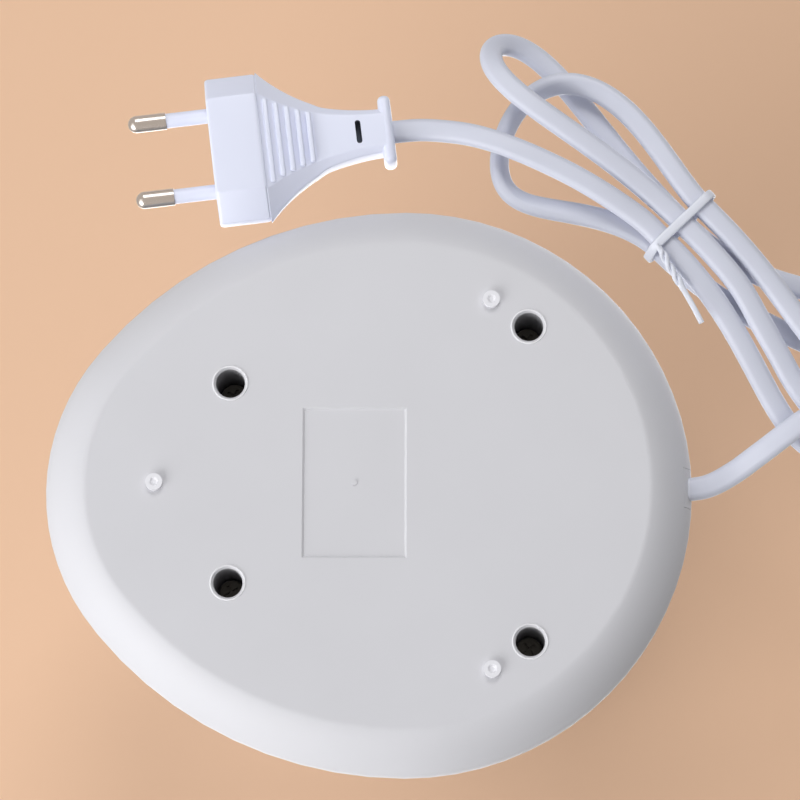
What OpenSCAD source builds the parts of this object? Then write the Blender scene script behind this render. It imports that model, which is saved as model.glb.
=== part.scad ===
// Baby bottle warmer: an egg-shaped housing on a screwed base, a water well heated from below,
// a thermostat dial on the nose and a flat mains lead that is tied in a hank beside it.
// Origin: on the floor under the middle of the base. The nose points to -Y, the lead leaves at +Y.

/* [Body] */
// Length of the base from nose to rear
body_len = 150; // [144:1:158]
// Width of the base
body_w = 133; // [128:1:140]
// Radius of the nose in plan
nose_r = 51; // [47:1:55]
// Height from the floor to the rim
body_h = 118; // [115:1:126]
// Wall of the base and the housing
wall = 2.4; // [2:0.1:2.8]
// Rounding of the lower edge of the base
edge_r = 10.5; // [9:0.5:11.5]
// Height of the seam between base and housing
seam_z = 15; // [14.5:0.5:17]
// Outer radius of the rim round the well
rim_r = 50; // [49:0.5:53]
// Rounding of the rim
rim_round = 4; // [2.5:0.5:4.5]
// How late the wall leans inwards on its way up
lean_power = 1.25; // [1:0.05:1.5]

/* [Base] */
// Diameter of a foot
foot_d = 3.9; // [3:0.1:6]
// Height of a foot under the base plate
foot_h = 1.2; // [0.8:0.1:2]
// Distance of the front foot from the middle
foot_front = 49; // [44:1:54]
// Distance of each rear foot from the centre line
foot_side = 43; // [40:0.5:46]
// Distance of the rear feet behind the middle
foot_back = 28.5; // [24:0.5:32]
// Width of the bare label recess
label_w = 35; // [25:1:42]
// Length of the bare label recess
label_len = 24; // [16:1:32]
// Place of the label recess along the base
label_y = -3; // [-8:0.5:2]
// Depth of the label recess
label_deep = 0.4; // [0.2:0.1:0.8]
// Radius of the circle through the four base screws, about the well
screw_circle = 46.5; // [45.5:0.5:48]
// Angle of the rear screws from the cross line
screw_rear = 38; // [32:1:44]
// Angle of the front screws from the cross line
screw_front = 60; // [56:1:64]
// Diameter of the screw recess
recess_d = 6.7; // [6:0.1:7.5]
// Depth of the screw recess
recess_deep = 17.8; // [15:0.2:20]
// Diameter of the screw post
post_d = 11; // [9.6:0.2:12]
// Thickness of the post's end wall
post_end = 3; // [2:0.5:4]

/* [Fasteners] */
// Diameter of a case screw
screw_d = 3; // [2.6:0.1:3.4]
// Head diameter of a case screw
head_d = 5.6; // [5:0.1:5.9]
// Head height of a case screw
head_h = 2.4; // [1.8:0.1:3]
// Length of a case screw under its head
screw_len = 12; // [9:0.5:14]
// Diameter of a small screw
small_d = 2.2; // [1.8:0.1:2.6]
// Head diameter of a small screw
small_head_d = 4.4; // [3.8:0.1:5]
// Head height of a small screw
small_head_h = 1.6; // [1.2:0.1:2]
// Length of a small screw under its head
small_len = 7; // [6:0.5:9]

/* [Well] */
// Inner radius of the water well
well_r = 39; // [37.5:0.5:39.5]
// Height of the well's floor above the ground
well_floor = 33.2; // [32.6:0.2:36]
// Sheet thickness of the pot
pot_wall = 1; // [0.8:0.1:1.4]
// Thickness of the pot floor
pot_floor = 1.6; // [1.2:0.1:2]
// Rounding of the well floor
pot_round = 5; // [3:0.5:8]
// Outer radius of the pot flange
flange_r = 44; // [43:0.5:45]
// Thickness of the pot flange
flange_t = 1.2; // [1:0.1:1.6]
// Thickness of the flange gasket
gasket_t = 1; // [0.8:0.1:1.5]
// Drop of the flange below the rim
flange_drop = 0.8; // [0.4:0.1:1.5]
// Diameter of the threaded stud under the pot
stud_d = 4; // [4:0.5:5]

/* [Heater] */
// Radius of the cast heater plate
plate_r = 30; // [28:0.5:33]
// Thickness of the heater plate
plate_t = 2.2; // [1.8:0.1:3]
// Radius of the ring of the heating tube
tube_ring_r = 22; // [21:0.5:24]
// Diameter of the heating tube
tube_d = 6.4; // [6:0.2:7]
// Wall of the cast channel round the tube
channel_wall = 1.3; // [1:0.1:2]
// Angle that the heating tube goes round
tube_sweep = 300; // [270:5:320]
// Height of the thermal cut-out and of the sensor
sensor_h = 6; // [5:0.5:7]
// Diameter of the thermal cut-out
cutout_d = 11; // [9:0.5:11.5]
// Diameter of the temperature sensor
sensor_d = 7; // [5:0.5:9]
// Distance of the cut-out and the sensor from the stud
sensor_off = 10.5; // [10:0.25:11]
// Thickness of the strap and of the clamp bar
strap_t = 1.2; // [1:0.1:1.6]
// Height of a nut on the stud
nut_h = 3.2; // [2.6:0.1:3.6]
// Width of a nut across its flats
nut_w = 7; // [6.5:0.5:8]
// Width of the clamp bar
bar_w = 12; // [10:0.5:14]
// Distance of the bar posts from the well axis
bar_reach = 45.5; // [45:0.25:47]
// Height of the clamp bar's upper face
bar_z = 17; // [16.6:0.2:18]

/* [Dial] */
// Height of the dial's centre over the floor
dial_z = 60; // [56:1:66]
// Diameter of the dial boss
dial_d = 42; // [40:1:46]
// Rise of the dial boss over the wall
dial_rise = 1.6; // [1:0.1:2.4]
// Diameter of the knob
knob_d = 29; // [26:0.5:30]
// Height of the knob
knob_h = 10; // [8:0.5:11]
// Number of flutes round the knob
flute_count = 20; // [12:1:28]
// Diameter of the dial shaft
shaft_d = 6; // [5:0.5:7]
// Distance of the indicator lens from the dial's centre
lens_off = 17; // [16.5:0.25:17.5]
// Diameter of the indicator lens
lens_d = 2.8; // [2:0.2:3.2]

/* [Board] */
// Distance of the board behind the wall
board_deep = 12; // [11:0.5:13]
// Width of the board
board_w = 42; // [40:1:44]
// Height of the board
board_h = 34; // [30:1:36]
// Thickness of the board
board_t = 1.6; // [1.2:0.1:2]
// Distance of the board posts from the dial's centre
board_post = 15.5; // [15:0.25:16]
// Side of the square rotary switch
switch_side = 16; // [14:0.5:17]
// Depth of the rotary switch
switch_deep = 7; // [6:0.5:7.5]

/* [Basket] */
// Outer radius of the lifting basket
basket_r = 37; // [34:0.5:37.2]
// Wall of the basket
basket_wall = 1.8; // [1.4:0.1:2.4]
// Height of the basket's ring
basket_h = 58; // [48:1:62]
// Height of the two lifting tabs over the ring
tab_h = 20; // [14:1:21]
// Width of a lifting tab
tab_w = 24; // [18:1:28]
// Number of slots round the basket
slot_count = 10; // [8:2:14]
// Width of a basket slot
slot_w = 7; // [5:0.5:8]

/* [Plug] */
// Width of the plug's front block
plug_w = 35.3; // [34:0.1:36]
// Thickness of the plug's front block
plug_t = 13.7; // [13:0.1:14.2]
// Length of the plug from its front to its collar
plug_len = 43; // [40:0.5:45]
// Length of the front block
block_len = 12; // [10:0.5:13]
// Width of the neck behind the shoulders
neck_w = 9.8; // [9:0.2:12]
// Thickness of the neck
neck_t = 7.4; // [7:0.2:9]
// Width of the collar at the lead
collar_w = 16.5; // [14:0.5:18]
// Thickness of the collar
collar_t = 3; // [2:0.5:4]
// Diameter of a pin
pin_d = 4; // [4:0.1:4.8]
// Diameter of the sleeve on a pin
sleeve_d = 3.5; // [3.4:0.1:3.6]
// Length of a pin
pin_len = 19; // [18:0.5:19.5]
// Length of the sleeve on a pin
sleeve_len = 10; // [9:0.5:11]
// Distance between the pins
pin_gap = 18.6; // [17:0.1:19.2]
// Number of grip ridges on each face of the plug
ridge_count = 5; // [3:1:6]

/* [Lead] */
// Width of the flat lead
cord_w = 5.4; // [5:0.1:6]
// Thickness of the flat lead
cord_t = 3.4; // [3:0.1:3.6]
// Height of the lead where it leaves the base
gland_z = 10.5; // [10:0.25:11]
// Width of the gland in its notch
gland_w = 9.4; // [8.8:0.1:11]
// Width of the tie round the hank
tie_w = 2.2; // [1.8:0.1:3]
// Thickness of the tie
tie_t = 1; // [0.8:0.1:1.2]
// Diameter of an inner wire
wire_d = 2.2; // [1.8:0.1:2.3]

/* [Hidden] */
$fn = 64;

// Clearances and small allowances
slip = 0.1;
running = 0.05;
thread_gap = 0.02;
bite = 0.5;
past = 1;

// Plan of the base: a rear circle, a nose circle and two side arcs that are tangent to both
rear_r = body_w / 2;
well_y = body_len / 2 - rear_r;
nose_y = nose_r - body_len / 2;
nose_gap = well_y - nose_y;
side_r = (rear_r * rear_r + nose_gap * nose_gap - nose_r * nose_r) / (2 * (rear_r - nose_r));
side_x = side_r - rear_r;
side_turn = atan2(nose_gap, side_x);
rear_y = body_len / 2;

// Each arc holds its centre and its radius
egg_arcs = [
  [[0, well_y], rear_r],
  [[side_x, well_y], side_r],
  [[0, nose_y], nose_r],
  [[-side_x, well_y], side_r]];

// Heights of the body
plate_top = foot_h + wall;
edge_z = foot_h + edge_r;
rim_z = body_h - rim_round;
flange_top = body_h - flange_drop;
flange_z = flange_top - flange_t;
ledge_z = flange_z - gasket_t;
deck_z = ledge_z - wall;
well_deep = flange_top - well_floor;
pot_under = well_floor - pot_floor;
pot_r = well_r + pot_wall;
ledge_hole_r = pot_r + 0.5;
rim_hole_r = flange_r + 0.4;
shell_hole_r = well_r / 2;

// Base details
// A power of 1 makes the edge a quarter round, and a higher one brings it nearer to a chamfer
edge_power = 1.33;
edge_steps = 8;
inner_steps = 4;
lip_gap = 0.6;
lip_t = 1.4;
lip_h = 2.5;
lip_root = 2.5;
lip_out = wall + lip_gap;
lip_in = lip_out + lip_t;
head_seat = foot_h + recess_deep;
post_top = head_seat + post_end;
recess_rim = 0.4;
dimple_d = 2;
dimple_deep = 0.4;
gate_d = 1.2;
gate_h = 0.25;
tower_d = 8;
tower_fin = 1.6;
pilot_deep = screw_len - post_end + 1.5;
feet = [[0, -foot_front], [foot_side, foot_back], [-foot_side, foot_back]];
screw_angles = [screw_rear, 180 - screw_rear, 180 + screw_front, 360 - screw_front];

// Heater stack, from the pot downwards
channel_h = tube_d + channel_wall - 1;
channel_w = tube_d + 2 * channel_wall;
tube_z = pot_under - plate_t - tube_d / 2 + 0.5;
strap_top = pot_under - plate_t - sensor_h;
strap_w = 10;
strap_len = 2 * (sensor_off + cutout_d / 2) + 3;
bar_len = 2 * bar_reach + 7;
bar_post_d = 7;
stud_end = bar_z - strap_t - nut_h - 1;
lug_d = 2.4;

// Dial frame: the wall's own lean at the dial's height
dial_share = (dial_z - seam_z) / (rim_z - seam_z);
nose_travel = well_y - rim_r + body_len / 2;
dial_wall_y = nose_travel * pow(dial_share, lean_power) - body_len / 2;
dial_tilt = atan(nose_travel * lean_power * pow(dial_share, lean_power - 1) / (rim_z - seam_z));
pocket_d = dial_d - 4;
dial_floor = dial_rise - wall;
bush_d = shaft_d + 3;
board_post_d = 5;
switch_back = -board_deep;
switch_front = switch_back + switch_deep;
knob_gap = 0.4;
knob_z = dial_rise + knob_gap;
knob_edge = 1.5;
shaft_flat = shaft_d * 0.25;
shaft_end = knob_z + knob_h - 2;
shaft_foot = switch_back + 1;
pot_front = well_y - pot_r;
parts_room = pot_front - dial_wall_y - board_deep - board_t;
relay_size = [15, 12, 0.575 * parts_room];
relay_at = [-10, -9.4];
capacitor_size = [13, 6, 0.63 * parts_room];
capacitor_at = [12, 8];
terminal_size = [15, 8, 0.575 * parts_room];
terminal_at = [10, -12];

// Basket heights
basket_gap = 0.3;
basket_z = well_floor + basket_gap;
basket_floor_t = 2;
basket_taper = pot_round * 0.8;
inner_taper = basket_taper - 1;
slot_z = basket_z + 12;
slot_top = basket_z + basket_h - 8;

// Gland and clamp
gland_h = cord_t + 3;
gland_out = rear_y - 0.6;
gland_in = rear_y - wall - 4.6;
flange_out = 1.6;
tail_in = rear_y - 22;
clamp_y = rear_y - 15;
clamp_len = 22;
clamp_w = 6;
clamp_t = 3;
clamp_post_d = 6;
clamp_post_x = 7.6;
saddle_t = 3;

// Points round a lofted ring of the housing
housing_sides = 72;
housing_levels = [0, 0.1, 0.25, 0.45, 0.7, 1];
rim_steps = 4;

// Plug: a block with sloping ends, then shoulders that are hollow arcs down to the neck
plug_at = [84.9, 5.6];
plug_turn = 83;
plug_mid = plug_t / 2;
shoulder_run = plug_len - collar_t - block_len + 2;
shoulder_r = (pow(shoulder_run, 2) + pow((plug_w - neck_w) / 2, 2)) / (plug_w - neck_w);
face_step = 0.9;
face_drop = plug_mid - face_step - neck_t / 2;
face_r = (pow(shoulder_run, 2) + pow(face_drop, 2)) / (2 * face_drop);
waist_at = block_len + shoulder_run;
shoulder_steps = 14;
end_slope = 6.2;
neck_slope = 1.2;
slope_rise = 0.85;
ridge_w = 1.3;
ridge_pitch = 2.45;
ridge_first = block_len + 1.7;
ridge_rise = 0.8;
slot_at = plug_len - 8.2;
slot_size = [1.2, 5.4];
core_d = sleeve_d - 1;
core_in = 8;

// Tie of the hank and the places of its five strands there, each as an offset across and a height
tie_at = [62, 73];
tie_turn = 136;
along = [cos(tie_turn), sin(tie_turn), 0];
across = [sin(tie_turn), -cos(tie_turn), 0];
tie_gap = 0.4;
lying = cord_t / 2 + 0.2;
strand_low = lying + tie_t + tie_gap;
strand_high = strand_low + cord_t + 0.8;
strand_pitch = cord_w + 0.8;
strands = [
  [-strand_pitch, strand_low], [0, strand_low], [strand_pitch, strand_low],
  [-strand_pitch - 1.2, strand_high], [1, strand_high]];

// Lobes of the hank in the order of the lead: side of the tie, strand it leaves, strand it comes back to,
// reach, spread, swing, sway, lift, roll, how late it opens and skew
lobes = [
  [1, 0, 3, 66, -16, -1.5, -0.5, 7, 0, 1.3, 5.5],
  [-1, 3, 2, 46, -14.2, 27, 0, 3.5, 60, 0.7, 10.5],
  [1, 2, 4, 63, -16, 12, -1, 0, 0, 1.3, 0],
  [-1, 4, 1, 62, 7.6, 1, 5.5, 4, 0, 1.1, 0.5]];
lobe_rings = 24;
cord_sides = 8;
wire_sides = 8;
route_steps = 2;

// Where the lead lies between the plug and the hank, and between the hank and the gland
plug_way = [cos(plug_turn), sin(plug_turn), 0];
plug_route = [
  [plug_at.x, plug_at.y, plug_mid], [85.4, 11.6, plug_mid], [84.8, 17.7, 5.8], [83.3, 24, 3.8], [81.2, 30, 2.5],
  [78.7, 36, 2], [75.9, 42, lying], [72.5, 48.5, lying], [68, 55.8, 2.1],
  by_tie(-7, -strand_pitch - 0.2, 2.9), by_tie(0, -strand_pitch, strand_low)];
lead_route = [
  by_tie(0, 0, strand_low), by_tie(10, -0.2, 3), by_tie(20, -1.2, 2.9), by_tie(30, -3.8, 3.8),
  by_tie(38, -5.8, 5.2), by_tie(44, -7.4, 6.1), by_tie(50, -8.5, 6.3), [14.9, 105.5, 6.2], [10.2, 109.2, 5.4],
  [6.6, 113, 4], [5.2, 117.2, 2.8], [6.6, 121, 2.1], [10.4, 122.8, lying], [14.2, 121.8, lying],
  [16.9, 118.6, lying], [17.9, 114.2, lying], [17.9, 109.4, lying], [16.8, 104.8, lying], [14.8, 100.6, 2.1],
  [11.9, 96.4, 3.1], [8.8, 92.1, 4.8], [6.4, 88.6, 6.8], [4.2, 85.3, 8.8],
  [2, gland_out + 7, gland_z - 0.3], [0.6, gland_out + 3.6, gland_z], [0, gland_out, gland_z]];
tail_route = [
  by_tie(0, -8.6, 0.75), by_tie(2.5, -9, 0.8), by_tie(5, -9.8, 1.1), by_tie(7.5, -10.4, 1.35),
  by_tie(10, -11, 1.35), by_tie(12.5, -11.7, 1.3), by_tie(15, -12.4, 1.1), by_tie(17.5, -13.2, 0.8),
  by_tie(20.5, -14.2, 0.7)];
tail_twist = 540;

// Wires: they lie on the base plate and rise to the terminals, the cut-out and the heater lugs
wire_low = plate_top + wire_d / 2 + 0.3;
core_gap = 1.25;
lug_x = tube_ring_r * sin((360 - tube_sweep) / 2);
lug_y = well_y - tube_ring_r * cos((360 - tube_sweep) / 2);
lug_z = tube_z - tube_d / 2 - 5;
tab_z = strap_top + 1.5;
tab_y = 6.9;
terminal_foot = [terminal_at.y - terminal_size.y / 2, -board_deep - board_t - terminal_size.z / 2];
board_back = -board_deep - board_t;

live_route = [
  [-core_gap, tail_in, gland_z], [-1.6, tail_in - 4, gland_z - 1], [-4, 45, 6.6], [-8, 39, wire_low],
  [-10, 28, wire_low], [-10, 14, wire_low], [-10, 0, wire_low], [-10, -14, wire_low], [-9, -28, wire_low],
  [-5, -38, wire_low], [1, -46, 6.6], [5, -51.5, 12], [6.3, -54.5, 21], [6.5, -53.6, 30],
  dial_place(6.5, terminal_foot.x - 4, terminal_foot.y), dial_place(6.5, terminal_foot.x, terminal_foot.y)];
neutral_route = [
  [core_gap, tail_in, gland_z], [1.6, tail_in - 4, gland_z - 1], [4, 45, 6.6], [8, 39, wire_low],
  [10, 28, wire_low], [10.5, 14, wire_low], [11, 2, wire_low], [lug_x, lug_y + 4, 7],
  [lug_x, lug_y + 0.6, 11], [lug_x, lug_y, lug_z - 3], [lug_x, lug_y, lug_z]];
heater_route = [
  dial_place(13.5, terminal_foot.x, terminal_foot.y), dial_place(13.5, terminal_foot.x - 4, terminal_foot.y),
  [13.5, -54.2, 29], [12.6, -54, 20], [9, -50, 13.5], [1, -44, 10.5], [-8, -36, 9.5], [-14.5, -24, 9],
  [-18.5, -10, 9], [-20, 2, 9], [-20, well_y + 4.5, 9.5], [-17.5, well_y + 11, 11.5],
  [-13, well_y + 12, 15.5], [-10.9, well_y + 9.7, 19.5],
  [-sensor_off, well_y + tab_y + 0.2, tab_z - 2.5], [-sensor_off, well_y + tab_y, tab_z]];
link_route = [
  [-sensor_off, well_y - tab_y, tab_z], [-sensor_off, well_y - tab_y - 0.1, tab_z - 3],
  [-sensor_off, well_y - 8.2, 18.5], [-10.6, well_y - 10.5, 15.4], [-10.8, well_y - 13.9, 14],
  [-11, well_y - 17.1, 14.2],
  [-lug_x, lug_y, lug_z - 2], [-lug_x, lug_y, lug_z]];
sensor_route = [
  [sensor_off, well_y + sensor_d / 2 + 0.1, strap_top + 2], [sensor_off, well_y + 6, strap_top + 1.8],
  [11.4, well_y + 9, 22.5], [14.5, well_y + 11, 18], [19, well_y + 9, 12.5], [21.5, 8, 10], [21.5, -4, 9.6],
  [19, -16, 10], [14, -26, 13], [7.5, pot_front - 1.5, 20], [2, pot_front - 6, 29],
  dial_place(0, -13, board_back - 0.8 * parts_room),
  dial_place(0, -13, board_back - 0.4 * parts_room), dial_place(0, -13, board_back)];

function by_tie(d, n, z) = [tie_at.x, tie_at.y, z] + along * d + across * n;

// A place given in the dial's own frame
function dial_place(x, y, z) = [
  x,
  dial_wall_y + y * sin(dial_tilt) - z * cos(dial_tilt),
  dial_z + y * cos(dial_tilt) + z * sin(dial_tilt)];

function unit(v) = v / norm(v);

// A smooth curve through the points of a route
function between(a, b, c, d, u) =
  (2 * b + (c - a) * u + (2 * a - 5 * b + 4 * c - d) * u * u + (3 * b - a - 3 * c + d) * u * u * u) / 2;

function smooth(route) =
  let (last = len(route) - 1)
  concat(
    [for (i = [0 : last - 1])
      let (
        b = route[i],
        c = route[i + 1],
        a = i == 0 ? 2 * b - c : route[i - 1],
        d = i == last - 1 ? 2 * c - b : route[i + 2])
      for (k = [0 : route_steps - 1]) between(a, b, c, d, k / route_steps)],
    [route[last]]);

// One oval ring, square to the way the lead runs and rolled about it
function oval_ring(p, way, over, roll, w, t, sides) =
  let (
    side = unit(cross(over, way)),
    up = cross(way, side),
    r = t / 2 / cos(180 / sides))
  [for (i = [0 : sides - 1])
    let (
      a = (i + 0.5) * 360 / sides,
      x = r * cos(a) + (w - t) / 2 * sign(cos(a)),
      y = r * sin(a))
    p + side * (x * cos(roll) - y * sin(roll)) + up * (x * sin(roll) + y * cos(roll))];

function way_at(path, i, first, last) =
  i == 0 ? unit(first) :
  i == len(path) - 1 ? unit(last) : unit(path[i + 1] - path[i - 1]);

function lead_rings(path, first, last) = [
  for (i = [0 : len(path) - 1])
    oval_ring(path[i], way_at(path, i, first, last), [0, 0, 1], 0, cord_w, cord_t, cord_sides)];

// A point of a lobe at a share u of its length, then how far the flat lead is rolled there
function lobe_point(lobe, u) =
  let (
    open = sin(180 * u),
    n = lobe[4] * sin(360 * u) * pow(open, lobe[9]) + lobe[10] * open * open,
    mix = u * u * (3 - 2 * u),
    base = strands[lobe[1]] * (1 - mix) + strands[lobe[2]] * mix,
    swung = lobe[5] * open,
    d = lobe[0] * lobe[3] * open)
  by_tie(
    d * cos(swung) - n * sin(swung),
    d * sin(swung) + n * cos(swung) + base[0],
    base[1] + lobe[7] * open * open + lobe[6] * sin(360 * u) * open);

function lobe_roll(lobe, u) = lobe[8] * pow(sin(180 * u), 2);

function hank_steps(rings) = [
  for (i = [0 : len(lobes) - 1])
    for (k = [i == 0 ? 0 : 1 : rings])
      [lobe_point(lobes[i], k / rings), lobe_roll(lobes[i], k / rings)]];

function hank_rings(steps, sides) =
  let (path = [for (step = steps) step[0]])
  [for (i = [0 : len(path) - 1])
    oval_ring(path[i], way_at(path, i, along, along), [0, 0, 1], steps[i][1], cord_w, cord_t, sides)];

// Least gap between strands of the hank, measured on points round the lead at a finer step
function hank_gap() =
  let (
    steps = hank_steps(3 * lobe_rings),
    rings = hank_rings(steps, 2 * cord_sides),
    near = cord_w + 2)
  min([for (i = [0 : len(steps) - 1])
    for (j = [i + 8 : 1 : len(steps) - 1])
      if (norm(steps[i][0] - steps[j][0]) < near)
        min([for (p = rings[i]) for (q = rings[j]) norm(p - q)])]);

function route_length(path) = path_sum([for (i = [1 : len(path) - 1]) norm(path[i] - path[i - 1])]);

function path_sum(list, i = 0) = i < len(list) ? list[i] + path_sum(list, i + 1) : 0;

function egg_arc(a) =
  a <= 180 ? egg_arcs[0] :
  a < 180 + side_turn ? egg_arcs[1] :
  a <= 360 - side_turn ? egg_arcs[2] : egg_arcs[3];

function egg_point(a, inset) =
  let (arc = egg_arc(a))
  arc[0] + (arc[1] - inset) * [cos(a), sin(a)];

function body_lean(z) = pow(max(0, min(1, (z - seam_z) / (rim_z - seam_z))), lean_power);

// A point of the housing's wall: the egg at the seam turns into the round rim at the top
function body_point(a, z, inset) =
  let (
    lean = body_lean(z),
    low = egg_point(a, inset),
    high = [0, well_y] + (rim_r - inset) * [cos(a), sin(a)],
    p = low * (1 - lean) + high * lean)
  [p.x, p.y, z];

function egg_ring(inset, z) =
  [for (i = [0 : housing_sides - 1])
    let (p = egg_point(i * 360 / housing_sides, inset)) [p.x, p.y, z]];

function body_ring(z, inset) =
  [for (i = [0 : housing_sides - 1]) body_point(i * 360 / housing_sides, z, inset)];

function round_ring(r, z) =
  [for (i = [0 : housing_sides - 1])
    let (a = i * 360 / housing_sides) [r * cos(a), well_y + r * sin(a), z]];

function joined(lists) = [for (list = lists) for (item = list) item];

// Triangles between neighbouring rings of n points
function band_faces(first, second, n) = joined([
  for (i = [0 : n - 1])
    let (j = (i + 1) % n)
    [[first + i, second + i, second + j], [first + i, second + j, first + j]]]);

// A closed skin over a list of rings, either ring shaped or capped at both ends
module skin(rings, ring_shaped = false) {
  n = len(rings[0]);
  count = len(rings);
  last = (count - 1) * n;
  bands = joined([for (k = [0 : count - 2]) band_faces(k * n, (k + 1) * n, n)]);
  ends = ring_shaped ? band_faces(last, 0, n) : concat(
    [for (i = [1 : n - 2]) [0, i, i + 1]],
    [for (i = [1 : n - 2]) [last, last + i + 1, last + i]]);
  polyhedron(points = joined(rings), faces = concat(bands, ends), convexity = 8);
}

module at_screws() {
  for (a = screw_angles)
    translate([screw_circle * cos(a), well_y + screw_circle * sin(a), 0])
      rotate(a)
        children();
}

module at_well() {
  translate([0, well_y, 0])
    children();
}

// Local z points out of the dial's face and local y up along it
module at_dial() {
  translate([0, dial_wall_y, dial_z])
    rotate([90 - dial_tilt, 0, 0])
      children();
}

module on_both_sides(x) {
  for (side = [-1, 1])
    translate([side * x, 0, 0])
      children();
}

module stadium(w, t) {
  square([w - t, t], center = true);
  for (side = [-1, 1])
    translate([side * (w - t) / 2, 0])
      circle(d = t);
}

module screw(d, length, d_head, h_head) {
  cylinder(d = d, h = length);
  difference() {
    translate([0, 0, -h_head])
      cylinder(d = d_head, h = h_head);
    for (a = [0, 90])
      rotate(a)
        translate([-d_head * 0.32, -d_head * 0.07, -h_head - past])
          cube([d_head * 0.64, d_head * 0.14, past + h_head * 0.5]);
  }
}

module nut() {
  difference() {
    cylinder(d = nut_w / cos(30), h = nut_h, $fn = 6);
    translate([0, 0, -past])
      cylinder(d = stud_d + 2 * thread_gap, h = nut_h + 2 * past);
  }
}

// Steps of the base's outer edge, each as an inset and a height
edge_profile = [
  for (k = [0 : edge_steps])
    let (a = 90 * k / edge_steps)
    [edge_r * (1 - pow(sin(a), edge_power)), edge_z - edge_r * pow(cos(a), edge_power)]];

// Rings of the base: up round the outer edge to the seam, over the lip and down inside to the plate
function base_rings() = [
  for (step = concat(
    edge_profile,
    [[0, seam_z], [lip_out, seam_z], [lip_out, seam_z + lip_h], [lip_in, seam_z + lip_h],
      [lip_in, seam_z - lip_root], [wall, seam_z - lip_root]],
    [for (k = [0 : inner_steps])
      let (a = 90 - 90 * k / inner_steps, r = edge_r - wall)
      [edge_r - r * pow(sin(a), edge_power), edge_z - r * pow(cos(a), edge_power)]]))
  egg_ring(step[0], step[1])];

module gland_notch(extra) {
  notch_low = gland_z - gland_h / 2 - extra;
  translate([-gland_w / 2 - extra, rear_y - wall - 6, notch_low])
    cube([gland_w + 2 * extra, wall + 12, seam_z + lip_h + past - notch_low]);
}

module base_cover() {
  color("gainsboro") {
    difference() {
      union() {
        skin(base_rings());
        at_screws()
          translate([0, 0, foot_h])
            cylinder(d = post_d, h = post_top - foot_h);
        for (foot = feet)
          translate(foot)
            cylinder(d = foot_d, h = foot_h + wall / 2);
        clamp_seat();
      }
      at_screws() {
        translate([0, 0, foot_h - past])
          cylinder(d = recess_d, h = recess_deep + past);
        translate([0, 0, foot_h])
          cylinder(d1 = recess_d + 2 * recess_rim, d2 = recess_d, h = recess_rim);
        cylinder(d = screw_d + 0.4, h = post_top + past);
      }
      translate([-label_w / 2, label_y - label_len / 2, foot_h - past])
        cube([label_w, label_len, past + label_deep]);
      for (foot = feet)
        translate(foot)
          cylinder(d1 = dimple_d, d2 = dimple_d / 2, h = dimple_deep);
      gland_notch(0);
      clamp_pilots();
    }
    translate([0, label_y, foot_h + label_deep - gate_h])
      cylinder(d = gate_d, h = gate_h + bite);
  }
}

// Two screw bosses and a saddle that carry the lead just inside the gland
module clamp_seat() {
  translate([0, clamp_y, 0]) {
    on_both_sides(clamp_post_x)
      translate([0, 0, foot_h + wall / 2])
        cylinder(d = clamp_post_d, h = gland_z + cord_t / 2 - foot_h - wall / 2);
    translate([-clamp_post_x, -saddle_t / 2, foot_h + wall / 2])
      cube([2 * clamp_post_x, saddle_t, gland_z - cord_t / 2 - slip - foot_h - wall / 2]);
  }
}

module clamp_pilots() {
  on_both_sides(clamp_post_x)
    translate([0, clamp_y, plate_top])
      cylinder(d = small_d + 2 * thread_gap, h = seam_z);
}

module base_screws() {
  color("dimgray")
    at_screws()
      translate([0, 0, head_seat])
        screw(screw_d, screw_len, head_d, head_h);
}

function housing_rings() = concat(
  [for (level = housing_levels) body_ring(seam_z + level * (rim_z - seam_z), 0)],
  [for (k = [1 : rim_steps])
    let (a = 90 * k / rim_steps)
    body_ring(rim_z + rim_round * sin(a), rim_round * (1 - cos(a)))],
  [round_ring(shell_hole_r, body_h), round_ring(shell_hole_r, deck_z), body_ring(deck_z, wall)],
  [for (k = [1 : len(housing_levels) - 1])
    let (level = housing_levels[len(housing_levels) - 1 - k])
    body_ring(seam_z + level * (deck_z - seam_z), wall)]);

// What the housing carries inside, before it is trimmed to the wall
module housing_inside() {
  at_screws() {
    translate([0, 0, post_top])
      cylinder(d = tower_d, h = deck_z + bite - post_top);
    translate([0, -tower_fin / 2, post_top + 4])
      cube([rear_r, tower_fin, deck_z + bite - post_top - 4]);
  }
  at_well()
    for (side = [0, 180])
      rotate(side) {
        translate([bar_reach, 0, bar_z])
          cylinder(d = bar_post_d, h = deck_z + bite - bar_z);
        translate([bar_reach, -tower_fin / 2, bar_z + 6])
          cube([rear_r, tower_fin, deck_z + bite - bar_z - 6]);
      }
}

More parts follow.
